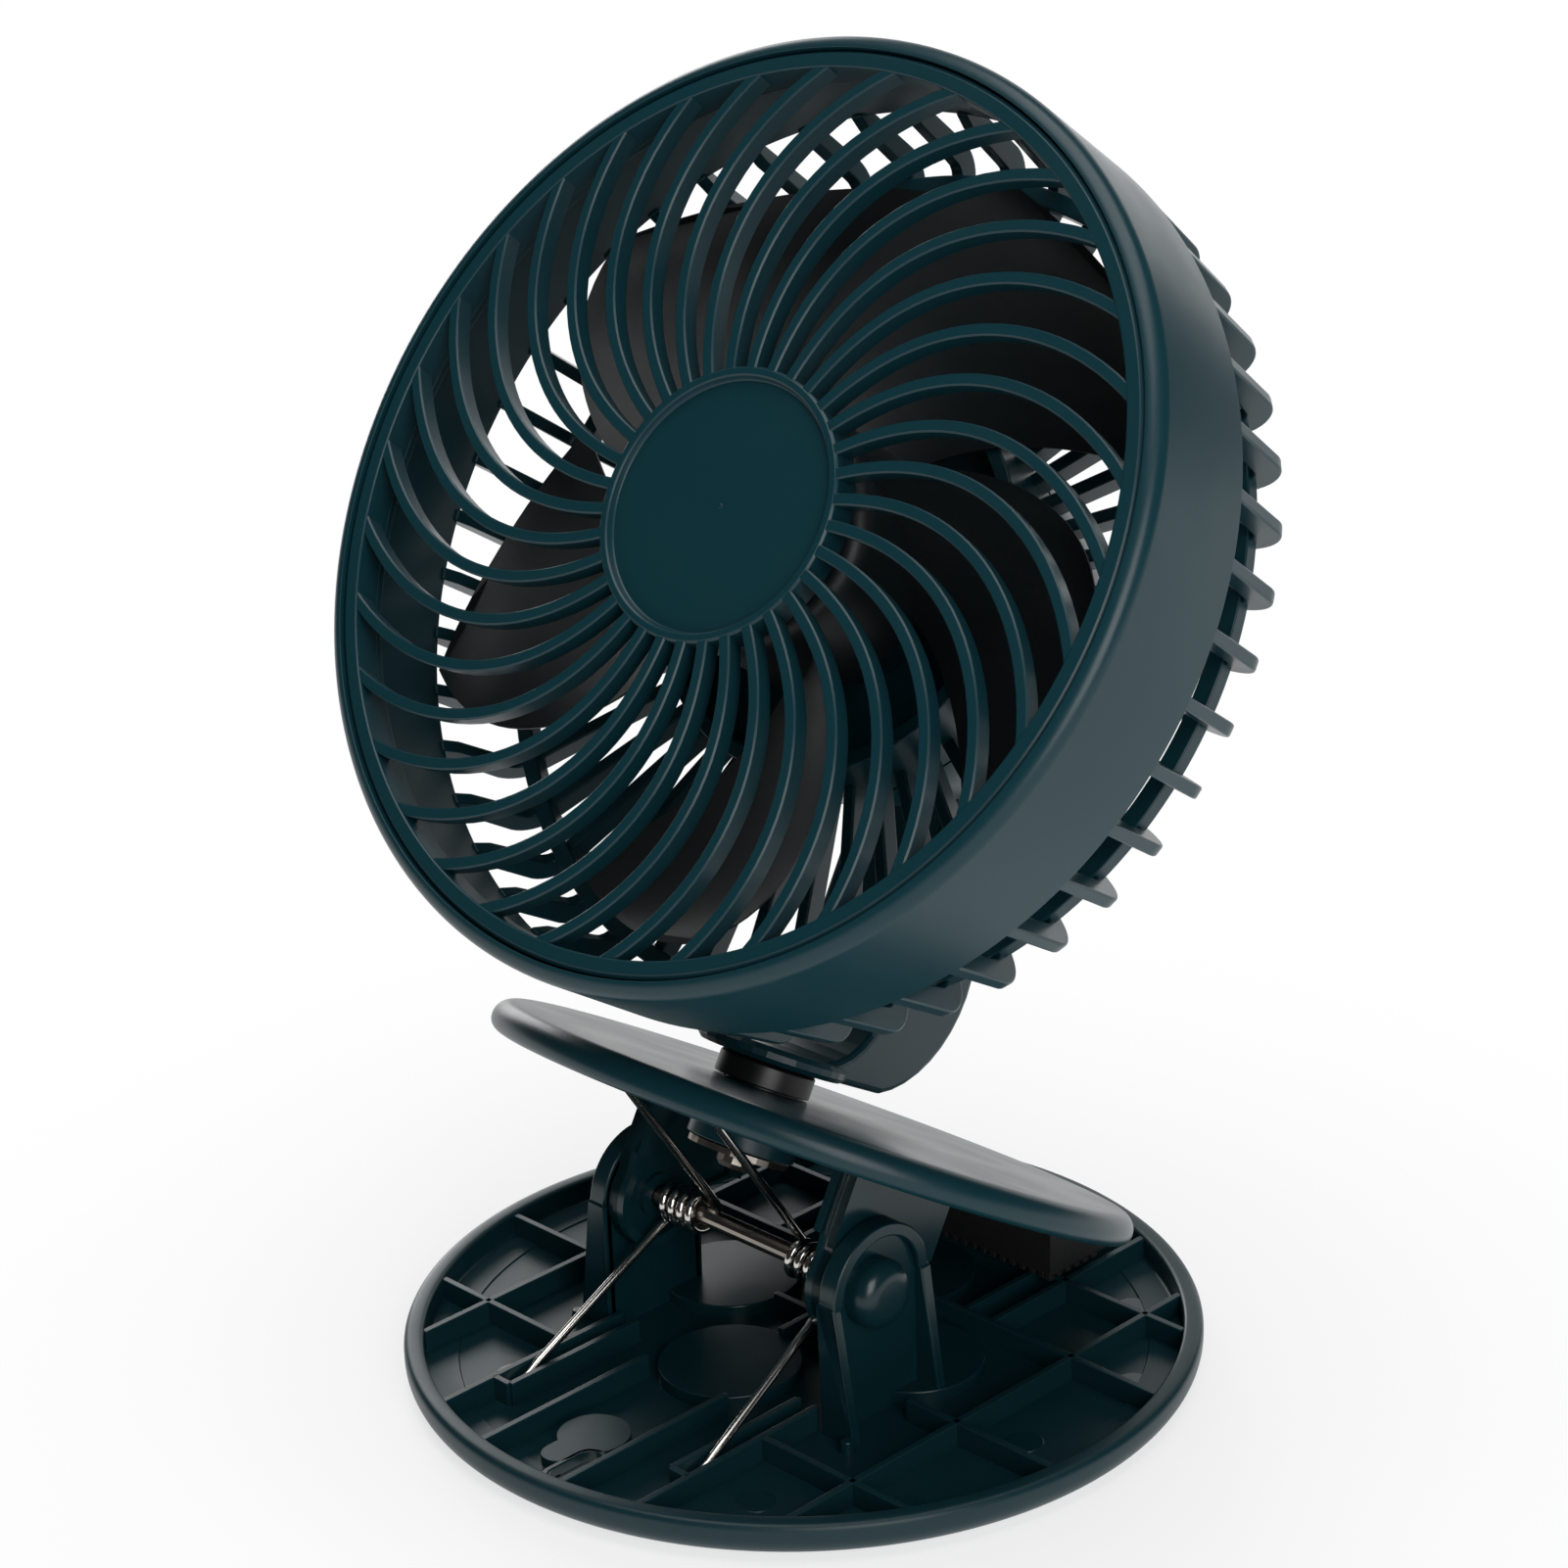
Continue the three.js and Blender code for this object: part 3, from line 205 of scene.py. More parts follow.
TEAL_SATIN = material("teal_satin", (0.0040, 0.0320, 0.0425), 0.30, 0.36, grain=0.25,
                      specular=0.34)
# Painted shade: this teal is darker than the satin teal to stand for the shade inside the base;
# its higher roughness is the tray's real duller finish.
TEAL_TRAY_SHADED = material("teal_tray_painted_shade", (0.0036, 0.0260, 0.0340), 0.34, 0.42, grain=0.15,
                     specular=0.34)
# Painted shade: this teal is darker than the satin teal to stand for the shade on the uprights
# and the tray's discs; its low roughness is the real gloss.
TEAL_GLOSS_SHADED = material("teal_gloss_painted_shade", (0.0034, 0.0240, 0.0310), 0.20, 0.27, specular=0.4)
BLADE = material("blade_plastic", (0.0045, 0.0085, 0.0100), 0.42, 0.50, grain=0.5)
BLACK = material("black_plastic", (0.0060, 0.0062, 0.0066), 0.34, 0.42, grain=0.3)
RUBBER = material("black_rubber", (0.0110, 0.0110, 0.0112), 0.60, 0.72, grain=0.7,
                  grain_scale=2200.0)
NICKEL = material("bright_nickel", (0.62, 0.60, 0.57), 0.10, 0.18, metallic=1.0)
STEEL = material("plain_steel", (0.30, 0.27, 0.24), 0.26, 0.36, metallic=1.0)
LIGHT = material("light_pipe", (0.70, 0.72, 0.70), 0.25, 0.32)
BOARD = material("green_board", (0.008, 0.095, 0.035), 0.35, 0.45)
SLEEVE = material("battery_sleeve", (0.30, 0.34, 0.38), 0.30, 0.38)
print("materials:", len(bpy.data.materials))

# %% [markdown]
# ## 4. Tools for forms
#
# Short functions make every new form: they turn a profile, extrude an outline or loft
# through rings, and each gives a list of corners and a list of faces. piece() joins such
# forms in a body's frame as a single object with soft edges, and cuts holes in it.

# %%
WELD = 1e-7


def turned(profile, steps, axis="z"):
    closed = profile[0] == profile[-1]
    points = profile[:-1] if closed else profile
    verts, faces = [], []
    for k in range(steps):
        turn = 2 * math.pi * k / steps
        c, s = math.cos(turn), math.sin(turn)
        for r, h in points:
            if axis == "z":
                verts.append((r * c, r * s, h))
            elif axis == "y":
                verts.append((r * s, h, r * c))
            else:
                verts.append((h, r * c, r * s))
    n = len(points)
    for k in range(steps):
        a, b = k * n, ((k + 1) % steps) * n
        for i in range(n if closed else n - 1):
            j = (i + 1) % n
            faces.append((a + i, b + i, b + j, a + j))
    return verts, faces


def cylinder(radius, low, high, steps, axis="z"):
    return turned([(0, low), (radius, low), (radius, high), (0, high)], steps, axis)


def tube(inside, outside, low, high, steps, axis="z"):
    return turned([(inside, low), (outside, low), (outside, high), (inside, high),
                   (inside, low)], steps, axis)


def prism(outline, low, high, axis="x"):
    place = {"x": lambda u, v, w: (w, u, v), "y": lambda u, v, w: (u, w, v),
             "z": lambda u, v, w: (u, v, w)}[axis]
    n = len(outline)
    verts = [place(u, v, low) for u, v in outline] + [place(u, v, high) for u, v in outline]
    faces = [tuple(range(n)), tuple(range(2 * n - 1, n - 1, -1))]
    faces += [(i, (i + 1) % n, n + (i + 1) % n, n + i) for i in range(n)]
    return verts, faces


def block(x0, x1, y0, y1, z0, z1):
    return prism([(x0, y0), (x1, y0), (x1, y1), (x0, y1)], z0, z1, "z")


def loft(rings):
    n = len(rings[0])
    verts = [tuple(p) for ring in rings for p in ring]
    faces = []
    for i in range(len(rings) - 1):
        for k in range(n):
            a, b = i * n + k, i * n + (k + 1) % n
            faces.append((a, b, b + n, a + n))
    last = (len(rings) - 1) * n
    faces += [tuple(range(n))[::-1], tuple(range(last, last + n))]
    return verts, faces


def arc(cx, cy, r, start, end, steps):
    return [(cx + r * math.cos(start + (end - start) * i / steps),
             cy + r * math.sin(start + (end - start) * i / steps)) for i in range(steps + 1)]


def shift(form, x=0.0, y=0.0, z=0.0):
    verts, faces = form
    return [(a + x, b + y, c + z) for a, b, c in verts], faces


def mirror_x(form):
    verts, faces = form
    return [(-a, b, c) for a, b, c in verts], faces


def soft_edges(obj, width, segments=2, angle=35):
    for polygon in obj.data.polygons:
        polygon.use_smooth = True
    if width:
        bevel = obj.modifiers.new("soft edges", "BEVEL")
        bevel.width = width * MM
        bevel.segments = segments
        bevel.limit_method = "ANGLE"
        bevel.angle_limit = rad(angle)
        bevel.harden_normals = True
    else:
        obj.data.set_sharp_from_angle(angle=rad(angle))


def as_mesh(name, forms, place):
    bm = bmesh.new()
    for verts, faces in forms:
        made = [bm.verts.new(place @ Vector(v) * MM) for v in verts]
        for face in faces:
            bm.faces.new([made[i] for i in face])
    bmesh.ops.remove_doubles(bm, verts=bm.verts, dist=WELD)
    bmesh.ops.recalc_face_normals(bm, faces=bm.faces)
    mesh = bpy.data.meshes.new(name)
    bm.to_mesh(mesh)
    bm.free()
    return mesh


def piece(name, forms, mat, body=None, place=WORLD, bevel=0.25, segments=2, cuts=()):
    obj = bpy.data.objects.new(name, as_mesh(name, forms, place))
    bpy.context.scene.collection.objects.link(obj)
    for index, cut in enumerate(cuts):
        tool = bpy.data.objects.new(f"{name}_cut_{index}", as_mesh("cut", [cut], place))
        bpy.context.scene.collection.objects.link(tool)
        step = obj.modifiers.new("cut", "BOOLEAN")
        step.operation = "DIFFERENCE"
        step.solver = "EXACT"
        step.object = tool
        bpy.context.view_layer.update()
        solid = bpy.data.meshes.new_from_object(
            obj.evaluated_get(bpy.context.evaluated_depsgraph_get()))
        obj.modifiers.clear()
        obj.data = solid
        bpy.data.objects.remove(tool)
    obj.data.materials.clear()
    obj.data.materials.append(mat)
    soft_edges(obj, bevel, segments)
    if body:
        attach(obj, body)
    return obj


# %% [markdown]
# ## 5. The base tray
#
# The tray is a shallow turned dish. Ribs cross its floor and stop at its rim, so chord()
# gives their reach. Four raised discs hold the feet, small round marks like those of
# ejector pins lie on the floor, and a keyhole boss with an opening beside it sits in front.

# %%
inner = BASE_R - BASE_RIM
dish = turned(
    [(0, 0)] + arc(BASE_R - 3.6, 3.6, 3.6, -math.pi / 2, 0, 10)
    + arc(BASE_R - 1.2, BASE_H - 1.2, 1.2, 0, math.pi / 2, 5)
    + arc(inner + 0.7, BASE_H - 0.7, 0.7, math.pi / 2, math.pi, 4)
    + arc(inner - 0.6, BASE_FLOOR + 0.6, 0.6, 0, -math.pi / 2, 4)
    + [(57.2, BASE_FLOOR), (57.0, BASE_FLOOR - 0.25), (0, BASE_FLOOR - 0.25)], 180)

DISCS = [(0, -17), (21, 4), (0, 25), (-21, 4)]
EJECTOR_MARKS = [(51, 24, 3.2), (50, -1.5, 3.2), (49, -27.5, 3.2), (31, -42, 3.2),
                 (-26, -41, 3.2), (-13, -58, 2.6), (35, 43, 3.2)]
SIDE_RIBS = [(-8.7, 31.9), (-32.2, 22.7)]
LOW_RIB_TOP = 4.6


def rib(x0, x1, y0, y1, top=RIB_TOP):
    return block(x0, x1, y0, y1, BASE_FLOOR - 0.8, top)


def chord(at):
    return math.sqrt((inner + 0.5) ** 2 - at * at)


def rib_x(y, x0=None, x1=None):
    reach = chord(abs(y) + HALF_RIB)
    return rib(-reach if x0 is None else x0, reach if x1 is None else x1,
               y - HALF_RIB, y + HALF_RIB)


def rib_y(x, y0=None, y1=None):
    reach = chord(abs(x) + HALF_RIB)
    return rib(x - HALF_RIB, x + HALF_RIB,
               -reach if y0 is None else y0, reach if y1 is None else y1)


ribs = [rib_x(37.4), rib_x(18.7)]
for side in (-1, 1):
    ribs += [
        rib_y(side * 42.3),
        rib_y(side * 9.2, None, -26.9),
        rib_y(side * 22.7, None, -20),
        rib_y(side * 18.8, -48, -20),
        rib_y(side * 25, 18.7), rib_y(side * 19, 18.7),
        rib(side * WIRE_FOOT_X - 1.95, side * WIRE_FOOT_X + 1.95, -48.65, -47.35),
    ]
    for y, start in SIDE_RIBS:
        ribs.append(rib_x(y, start) if side > 0 else rib_x(y, None, -start))
ribs += [rib(-9.4, 9.4, 2.35, 3.65, LOW_RIB_TOP),
         rib(-HALF_RIB, HALF_RIB, -5.4, 13.4, LOW_RIB_TOP)]

disc = turned([(0, 2), (FOOT_R, 2), (FOOT_R, 0.3), (DISC_R, 0.3), (DISC_R, DISC_TOP),
               (0, DISC_TOP)], 64)
discs = [shift(disc, x, y) for x, y in DISCS]
marks = [shift(cylinder(r, 1, BASE_FLOOR - 0.1, 40), x, y) for x, y, r in EJECTOR_MARKS]
marks.append(shift(cylinder(4.5, 3, DISC_TOP + 0.15, 40), 23, 2))


def keyhole(inset):
    large, small = 5.9 - inset, 2.8 - inset
    spread = math.asin(small / large)
    return (arc(0, -47, large, -math.pi / 2 + spread, 1.5 * math.pi - spread, 40)
            + arc(0, -54.5, small, math.pi, 2 * math.pi, 16))


def opening(margin):
    return (arc(5, -52.6, 2 + margin, 0, math.pi, 14)
            + arc(5, -58.6, 2 + margin, math.pi, 2 * math.pi, 14))


recesses = [shift(cylinder(FOOT_R, -1, 2, 64), x, y) for x, y in DISCS]
hole = prism(opening(0), -1, 8, "z")
hollow = prism(keyhole(1.4), -1, 2.2, "z")
tray = piece("tray_dish", [dish], TEAL_TRAY_SHADED, "base", bevel=0.12,
             cuts=[hole, hollow, *recesses])
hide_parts("base_tray")
piece("tray_ribs", ribs, TEAL_TRAY_SHADED, "base", bevel=0.22)
piece("tray_discs", discs + marks, TEAL_GLOSS_SHADED, "base", bevel=0.3)
piece("tray_keyhole", [prism(keyhole(0), 1.2, 3.4, "z")], TEAL_TRAY_SHADED,
      "base", bevel=0.45, segments=3, cuts=[prism(opening(0.01), -1, 8, "z")])
piece("tray_opening", [prism(opening(1), 1.2, 3.4, "z")], TEAL_GLOSS_SHADED,
      "base", bevel=0.2, cuts=[hole])
print("ribs:", len(ribs))

# %% [markdown]
# ## 6. The uprights
#
# Each upright is a web with an arched top and a band along the arch, two flanges that taper
# upwards, a domed boss over the pin's end and a small nib. The left one is the mirror image
# of the right one.

# %%
def upright():
    middle, half, x0, x1 = PIN_Y + 1.3, 10.8, 24.6, 26.8
    low, inset, thick, lip = 1.3, 0.3, 1.8, 1.3
    web = prism([(middle + half - inset, low)]
                + arc(middle, PIN_Z, half - inset, 0, math.pi, 40)
                + [(middle - half + inset, low)], x0, x1)
    band = prism(arc(middle, PIN_Z, half, 0, math.pi, 40)
                 + arc(middle, PIN_Z, half - 2.2, math.pi, 0, 40), x0, x1 + lip)
    side_on = [(x0, low), (x1 + 5.1, low), (x1 + lip, PIN_Z), (x0, PIN_Z)]
    flanges = [prism(side_on, y, y + thick, "y") for y in (middle - half, middle + half - thick)]
    dome = shift(turned([(0, -0.5), (5.8, -0.5), (5.8, 1.7)]
                        + arc(2.8, 1.7, 3.0, 0, math.pi / 2, 12)[1:] + [(0, 4.7)], 64, "x"),
                 x1, PIN_Y, PIN_Z)
    nib = shift(turned([(0, 1), (1.4, 1), (1.1, 3.6), (0, 3.6)], 20),
                x1 + 4.4, middle - half - 1)
    return [web, band, dome, nib, *flanges]


right = upright()
piece("uprights", right + [mirror_x(form) for form in right], TEAL_GLOSS_SHADED,
      "base", bevel=0.35, segments=3)

# %% [markdown]
# ## 7. The clip lever
#
# The lever's plate is a turned disc with a nearly flat top and a full round rim, hollow
# underneath. Two ears reach down to the pin, a stepped boss under the plate takes the neck,
# and two bars tie the boss to the ears.

# %%
plate_top = PLATE_RISE + PLATE_H
roof = plate_top - PLATE_SKIN
neck_y = PLATE_AHEAD - NECK_BACK
boss_low = PLATE_RISE - BOSS_DROP
upper_round, lower_round = 3, 2
flat = PLATE_R - upper_round
crown = [(flat * k / 8, plate_top + PLATE_CROWN * (1 - (k / 8) ** 2)) for k in range(8)]
plate = shift(turned(
    crown + arc(flat, plate_top - upper_round, upper_round, math.pi / 2, 0, 14)
    + arc(PLATE_R - lower_round, PLATE_RISE + lower_round, lower_round, 0, -math.pi / 2, 8)
    + [(PLATE_R - PLATE_WALL, PLATE_RISE), (PLATE_R - PLATE_WALL, roof), (0, roof)], 200),
    0, PLATE_AHEAD)
boss = shift(turned([(0, roof + 0.5), (12, roof + 0.5), (12, boss_low + 3), (9, boss_low + 3),
                     (9, boss_low), (0, boss_low)], 64), 0, neck_y)
bore = shift(cylinder(6.3, boss_low - 2, plate_top + 1, 64), 0, neck_y)


def ear():
    outer, low, high = 24.3, 6, roof + 0.5

    def outline(inset):
        return ([(15.9 - inset, high), (15.9 - inset, low)]
                + arc(0, 0, 8.7 - inset, 0.25, -math.pi - 0.25, 30)
                + [(-9 + inset, low), (-9 + inset, high)])

    side = prism(outline(0), outer - 2, outer)
    rim_out, rim_in = outline(0), outline(1.6)
    rim = prism(rim_out + rim_in[::-1], outer - 3.4, outer - 0.1)
    edges = [block(outer - 5, outer - 0.1, y, y + 1.6, low, high) for y in (-9, 14.3)]
    gussets = [prism([(22.5, high), (22.5, PLATE_RISE - 8), (18.9, high)], y, y + 1.2, "y")
               for y in (-3, 4.5, 10)]
    hub = tube(PIN_R + 0.2, 3.8, 21.3, outer, 40, "x")
    return [side, rim, hub, *edges, *gussets]


cap = piece("lever_plate", [plate], TEAL_SATIN, "lever", LEVER, bevel=0,
            cuts=[bore])
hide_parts("clip_lever")
piece("lever_boss", [boss], TEAL_SATIN, "lever", LEVER, bevel=0.3, cuts=[bore])
ears = ear()
piece("lever_ears", ears + [mirror_x(form) for form in ears], TEAL_GLOSS_SHADED,
      "lever", LEVER, bevel=0.3)
bars = [block(x0, x1, neck_y + 3.3, neck_y + 4.7, roof - 3, roof + 0.3)
        for x0, x1 in ((11, 23.1), (-23.1, -11))]
piece("lever_bars", bars, TEAL_GLOSS_SHADED, "lever", LEVER, bevel=0.2)

# %% [markdown]
# ## 8. The neck
#
# The neck is turned: a spigot with a hole for its screw goes down through the boss, a collar
# rests on the plate, and a short step above it enters the arm.

# %%
neck_low, neck_high = boss_low, SWIVEL_RISE + 1.4
collar_low, step_top = plate_top + PLATE_CROWN + GAP, neck_high + 1.6
screw_end = neck_low + 9
neck = turned([(0, screw_end), (1.3, screw_end), (1.3, neck_low), (6, neck_low),
               (6, collar_low), (8, collar_low), (8, neck_high - 0.5), (7.5, neck_high),
               (4, neck_high), (4, step_top), (0, step_top)], 96)
post = piece("neck_post", [shift(neck, 0, neck_y)], BLACK, "swivel", LEVER,
             bevel=0.2)
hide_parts("swivel_neck")

# %% [markdown]
# ## 9. The springs
#
# Each spring is one wire: a leg from its slot in the tray, at least four turns round the
# pin, and a leg up to the underside of the plate, where it bends.

# %%
pin_place = Vector((0, PIN_Y, PIN_Z))


def spring_route(side, per_turn=28):
    coil_r, pitch, outer_x = PIN_R + 0.4 + WIRE_R, 2.05, 19.0
    foot = Vector((WIRE_FOOT_X, -40, RIB_TOP))
    to_pin = math.atan2(PIN_Z - foot.z, PIN_Y - foot.y)
    reach = math.hypot(PIN_Z - foot.z, PIN_Y - foot.y)
    start = to_pin - math.asin(coil_r / reach) - math.pi / 2
    heading = math.pi - rad(WIRE_RISE)
    end = heading - math.pi / 2
    while end - start < 8 * math.pi:
        end += 2 * math.pi
    steps = round(per_turn * (end - start) / (2 * math.pi))
    coil = []
    for i in range(steps + 1):
        turn = start + (end - start) * i / steps
        coil.append(Vector((outer_x - pitch * (turn - start) / (2 * math.pi),
                            PIN_Y + coil_r * math.cos(turn), PIN_Z + coil_r * math.sin(turn))))
    along = Vector((0, math.cos(heading), math.sin(heading)))
    tilt = rad(-LEVER_TILT)
    under = Vector((0, -math.cos(tilt), math.sin(tilt)))
    normal = Vector((0, math.sin(tilt), math.cos(tilt)))
    ceiling = pin_place + normal * (roof - GAP - WIRE_R)
    touch = coil[-1] + along * ((ceiling - coil[-1]).dot(normal) / along.dot(normal))
    low = [Vector((foot.x, -45.2, BASE_FLOOR + GAP + WIRE_R)), Vector((foot.x, -42, 4.2)), foot]
    leg = [foot.lerp(coil[0], k / 12) for k in range(1, 12)]
    rise_end = touch - along * 1.5
    rise = [coil[-1].lerp(rise_end, k / 16) for k in range(1, 17)]
    bend = [touch - along * 0.5 + under * 0.25, touch + under * 0.9, touch + under * 4]
    return [Vector((p.x * side, p.y, p.z)) for p in low + leg + coil + rise + bend]


def wire(points, radius, sides=14):
    rings, normal = [], Vector((1, 0, 0))
    for i, point in enumerate(points):
        ahead = (points[min(i + 1, len(points) - 1)] - point)
        behind = (point - points[max(i - 1, 0)])
        along = (ahead.normalized() + behind.normalized()).normalized()
        normal = (normal - along * normal.dot(along)).normalized()
        across = along.cross(normal)
        rings.append([point + normal * radius * math.cos(2 * math.pi * k / sides)
                      + across * radius * math.sin(2 * math.pi * k / sides)
                      for k in range(sides)])
    return loft(rings)


rise_way = Vector((0, -math.cos(rad(WIRE_RISE)), math.sin(rad(WIRE_RISE))))
for side, label in ((-1, "left"), (1, "right")):
    coil = piece(f"spring_{label}", [wire(spring_route(side), WIRE_R)], NICKEL,
                 bevel=0)
    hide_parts(f"torsion_spring_{label}")
    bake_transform(coil)
print("spring points:", len(spring_route(1)))

# %% [markdown]
# ## 10. The head's drum and slotted back
#
# The drum is turned. Forty-five ribs run from it round a corner and in to the cup at the
# middle, one ring ties them together inside, and a cradle in the cup holds the motor.

# %%
seat = GRILLE_R + GAP
wall_in = DRUM_R - DRUM_WALL
drum = turned(
    [(seat, 2.3), (seat, 5.3), (69.8, 5.3), (69.8, 6.5), (wall_in, 7.7), (wall_in, DRUM_DEPTH),
     (DRUM_R - 0.2, DRUM_DEPTH)] + arc(DRUM_R - 2.6, 2.3, 2.6, 0, -math.pi / 2, 12)[:-1]
    + [(seat, -0.29), (seat, 2.3)], 240, "y")


def cage_rib(index):
    width, outer, r, depth = 2.1, DRUM_R - CAGE_TAPER, 6.0, 4.0
    outline = ([(DRUM_R - 0.25, DRUM_DEPTH - 0.6)]
               + arc(outer - r, CAGE_DEPTH - r, r, 0, math.pi / 2, 9)
               + [(32, CAGE_DEPTH), (32, CAGE_DEPTH - depth)]
               + arc(outer - r - 0.6, CAGE_DEPTH - r - 0.6, r - depth + 0.6, math.pi / 2, 0, 4)
               + [(wall_in - 1.6, DRUM_DEPTH + 2), (wall_in - 0.4, DRUM_DEPTH - 1)])
    turn = rad(FIRST_RIB) + 2 * math.pi * index / CAGE_RIBS
    c, s = math.cos(turn), math.sin(turn)
    return loft([[(u * c - w * s, v, u * s + w * c) for u, v in outline]
                 for w in (-width / 2, width / 2)])


ring = tube(65.4, 68.4, 38.7, 41.6, 200, "y")
cup = turned([(0, 40.6), (30.6, 40.6), (30.6, 31.5), (33, 31.5), (33, 44.5), (30.7, 44.5),
              (30.7, 46.5), (28.8, 46.5), (28.8, 44.5), (0, 44.5)], 96, "y")
cradle = tube(14.3, 16.2, 33.6, 41, 48, "y")
shell = piece("drum_wall", [drum], TEAL_SATIN, "head", HEAD, bevel=0.15)
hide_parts("drum_cage")
piece("cage_ribs", [cage_rib(i) for i in range(CAGE_RIBS)], TEAL_SATIN,
      "head", HEAD, bevel=0.4, segments=3)
piece("cage_middle", [ring, cup, cradle], TEAL_SATIN, "head", HEAD, bevel=0.3)
print("cage ribs:", CAGE_RIBS)

# %% [markdown]
# ## 11. The spiral grille
#
# Thirty-four bars leave the hub almost straight and sweep clockwise on their way out to
# the ring. Each bar is deep and a little narrower at the back, with a small chamfer at the
# front that catches the light.

# %%
BAR_SECTION = [(-0.95, 0.45), (-0.7, 0.2), (0.7, 0.2), (0.95, 0.45), (0.7, SPOKE_DEPTH),
               (-0.7, SPOKE_DEPTH)]


def spoke(index, stations=26):
    start = rad(2.9 - SPOKE_SWEEP) + 2 * math.pi * index / SPOKES
    low, high = HUB_R - 1, GRILLE_R - 1

    def place(share):
        radius = low + (high - low) * share
        turn = start + rad(SPOKE_SWEEP) * share ** SPOKE_CURVE
        return Vector((radius * math.sin(turn), 0, radius * math.cos(turn)))

    rings = []
    for i in range(stations + 1):
        share = i / stations
        here = place(share)
        along = (place(share + 0.01) - place(max(share - 0.01, 0))).normalized()
        side = Vector((along.z, 0, -along.x))
        rings.append([here + side * off + Vector((0, depth, 0)) for off, depth in BAR_SECTION])
    return loft(rings)


band = turned([(69.5, 0.25), (69.75, 0), (GRILLE_R - 0.6, 0), (GRILLE_R, 0.6),
               (GRILLE_R, GRILLE_DEPTH), (69.5, GRILLE_DEPTH), (69.5, 0.25)], 240, "y")
hub = turned([(0, 1.4), (19.7, 1.4), (19.9, 1.2), (20.1, 0.35), (20.4, 0.1), (21.3, 0.1),
              (HUB_R, 0.5), (HUB_R, GRILLE_DEPTH), (20.1, GRILLE_DEPTH), (20.1, 3.2),
              (0, 3.2)], 120, "y")
nub = turned([(0, 1.25), (0.35, 1.3), (0.5, 1.5), (0, 1.5)], 20, "y")
grille = piece("grille_rings", [band, hub, nub], TEAL_SATIN, "head", HEAD,
               bevel=0.12)
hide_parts("front_grille")
piece("grille_bars", [spoke(i) for i in range(SPOKES)], TEAL_SATIN, "head",
      HEAD, bevel=0)
print("grille bars:", SPOKES)

# %% [markdown]
# ## 12. The impeller
#
# Five broad blades sweep round a deep hub. Each blade is thin at its edges and lies across
# the drum from front to back. Its angles are in degrees: span is its width at a radius, lead
# is where it begins, and corner rounds the outer ends.

# %%
def blade(index, radial=24, chordwise=16):
    root = ROTOR_R - 1
    rings = []
    for i in range(radial + 1):
        share = 1 - (1 - i / radial) ** 1.5
        radius = root + (BLADE_TIP - root) * share
        corner = 6 * share ** 12
        span = 44 + 12 * math.sin(math.pi * (0.1 + 0.55 * share)) - 4 * share ** 6
        lead = 360 / BLADES * index + 5 + 34.5 * share - span / 2 + corner
        front, back = [], []
        for k in range(chordwise + 1):
            along = k / chordwise
            angle = rad(lead + (span - corner) * along)
            arch = math.sin(math.pi * along)
            depth = ROTOR_FRONT + 2.5 + (16 + 6 * share) * along + 2 * arch
            thin = 1.7 * (1 - 0.35 * share) * (0.35 + 0.65 * arch)
            x, z = radius * math.sin(angle), radius * math.cos(angle)
            front.append((x, depth - thin / 2, z))
            back.append((x, depth + thin / 2, z))
        rings.append(front + back[::-1])
    return loft(rings)


rotor = turned([(0, ROTOR_FRONT), (17, ROTOR_FRONT), (18.4, 10.9), (19.4, 12),
                (ROTOR_R, 14), (ROTOR_R, ROTOR_BACK), (18.2, ROTOR_BACK), (18.2, 14.1),
                (16.8, 12.7), (0, 12.7)], 96, "y")
fan_wheel = piece("fan_wheel", [rotor] + [blade(i) for i in range(BLADES)], BLADE,
                  "impeller", HEAD, bevel=0)
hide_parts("impeller")

# %% [markdown]
# ## 13. The rear housing
#
# A shallow turned cover closes the back. It carries the hinge lug, and it has holes for the
# button, the light, the four screws and the charging port.

# %%
skin, past = 2, COVER_BACK + 4
corner_r, corner_y, slope_y = COVER_R - 8, COVER_BACK - 5, COVER_FRONT + 6
housing = turned(
    [(COVER_R, COVER_FRONT), (COVER_R, slope_y)]
    + arc(corner_r, corner_y, 5, 0.1, math.pi / 2, 10)
    + [(0, COVER_BACK), (0, COVER_BACK - skin)]
    + arc(corner_r, corner_y, 5 - skin, math.pi / 2, 0.1, 8)
    + [(COVER_R - skin, slope_y), (COVER_R - skin, COVER_FRONT), (COVER_R, COVER_FRONT)],
    120, "y")
screw_places = [(x, z) for x in (-SCREW_AT, SCREW_AT) for z in (-SCREW_AT, SCREW_AT)]
wells = [shift(cylinder(2.5, 58, past, 32, "y"), x, 0, z) for x, z in screw_places]
posts = [shift(tube(2.5, 3.5, COVER_FRONT, 65, 32, "y"), x, 0, z) for x, z in screw_places]
button_hole = shift(cylinder(5.3, 60, past, 48, "y"), 0, 0, SCREW_AT)
light_hole = shift(cylinder(1.5, 60, past, 24, "y"), 10, 0, SCREW_AT)
port = block(-36, -25, 53.1, 56.9, -4.9, 4.9)
back = piece("housing_shell", [housing], TEAL_SATIN, "head", HEAD, bevel=0.2,
             cuts=[*wells, button_hole, light_hole, port])
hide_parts("rear_cover")
piece("housing_posts", posts, TEAL_SATIN, "head", HEAD, bevel=0)
lug = prism([(65, -LUG_R)] + arc(LUG_DEPTH, 0, LUG_R, -math.pi / 2, math.pi / 2, 30)
            + [(65, LUG_R)], -4.2, 4.2)
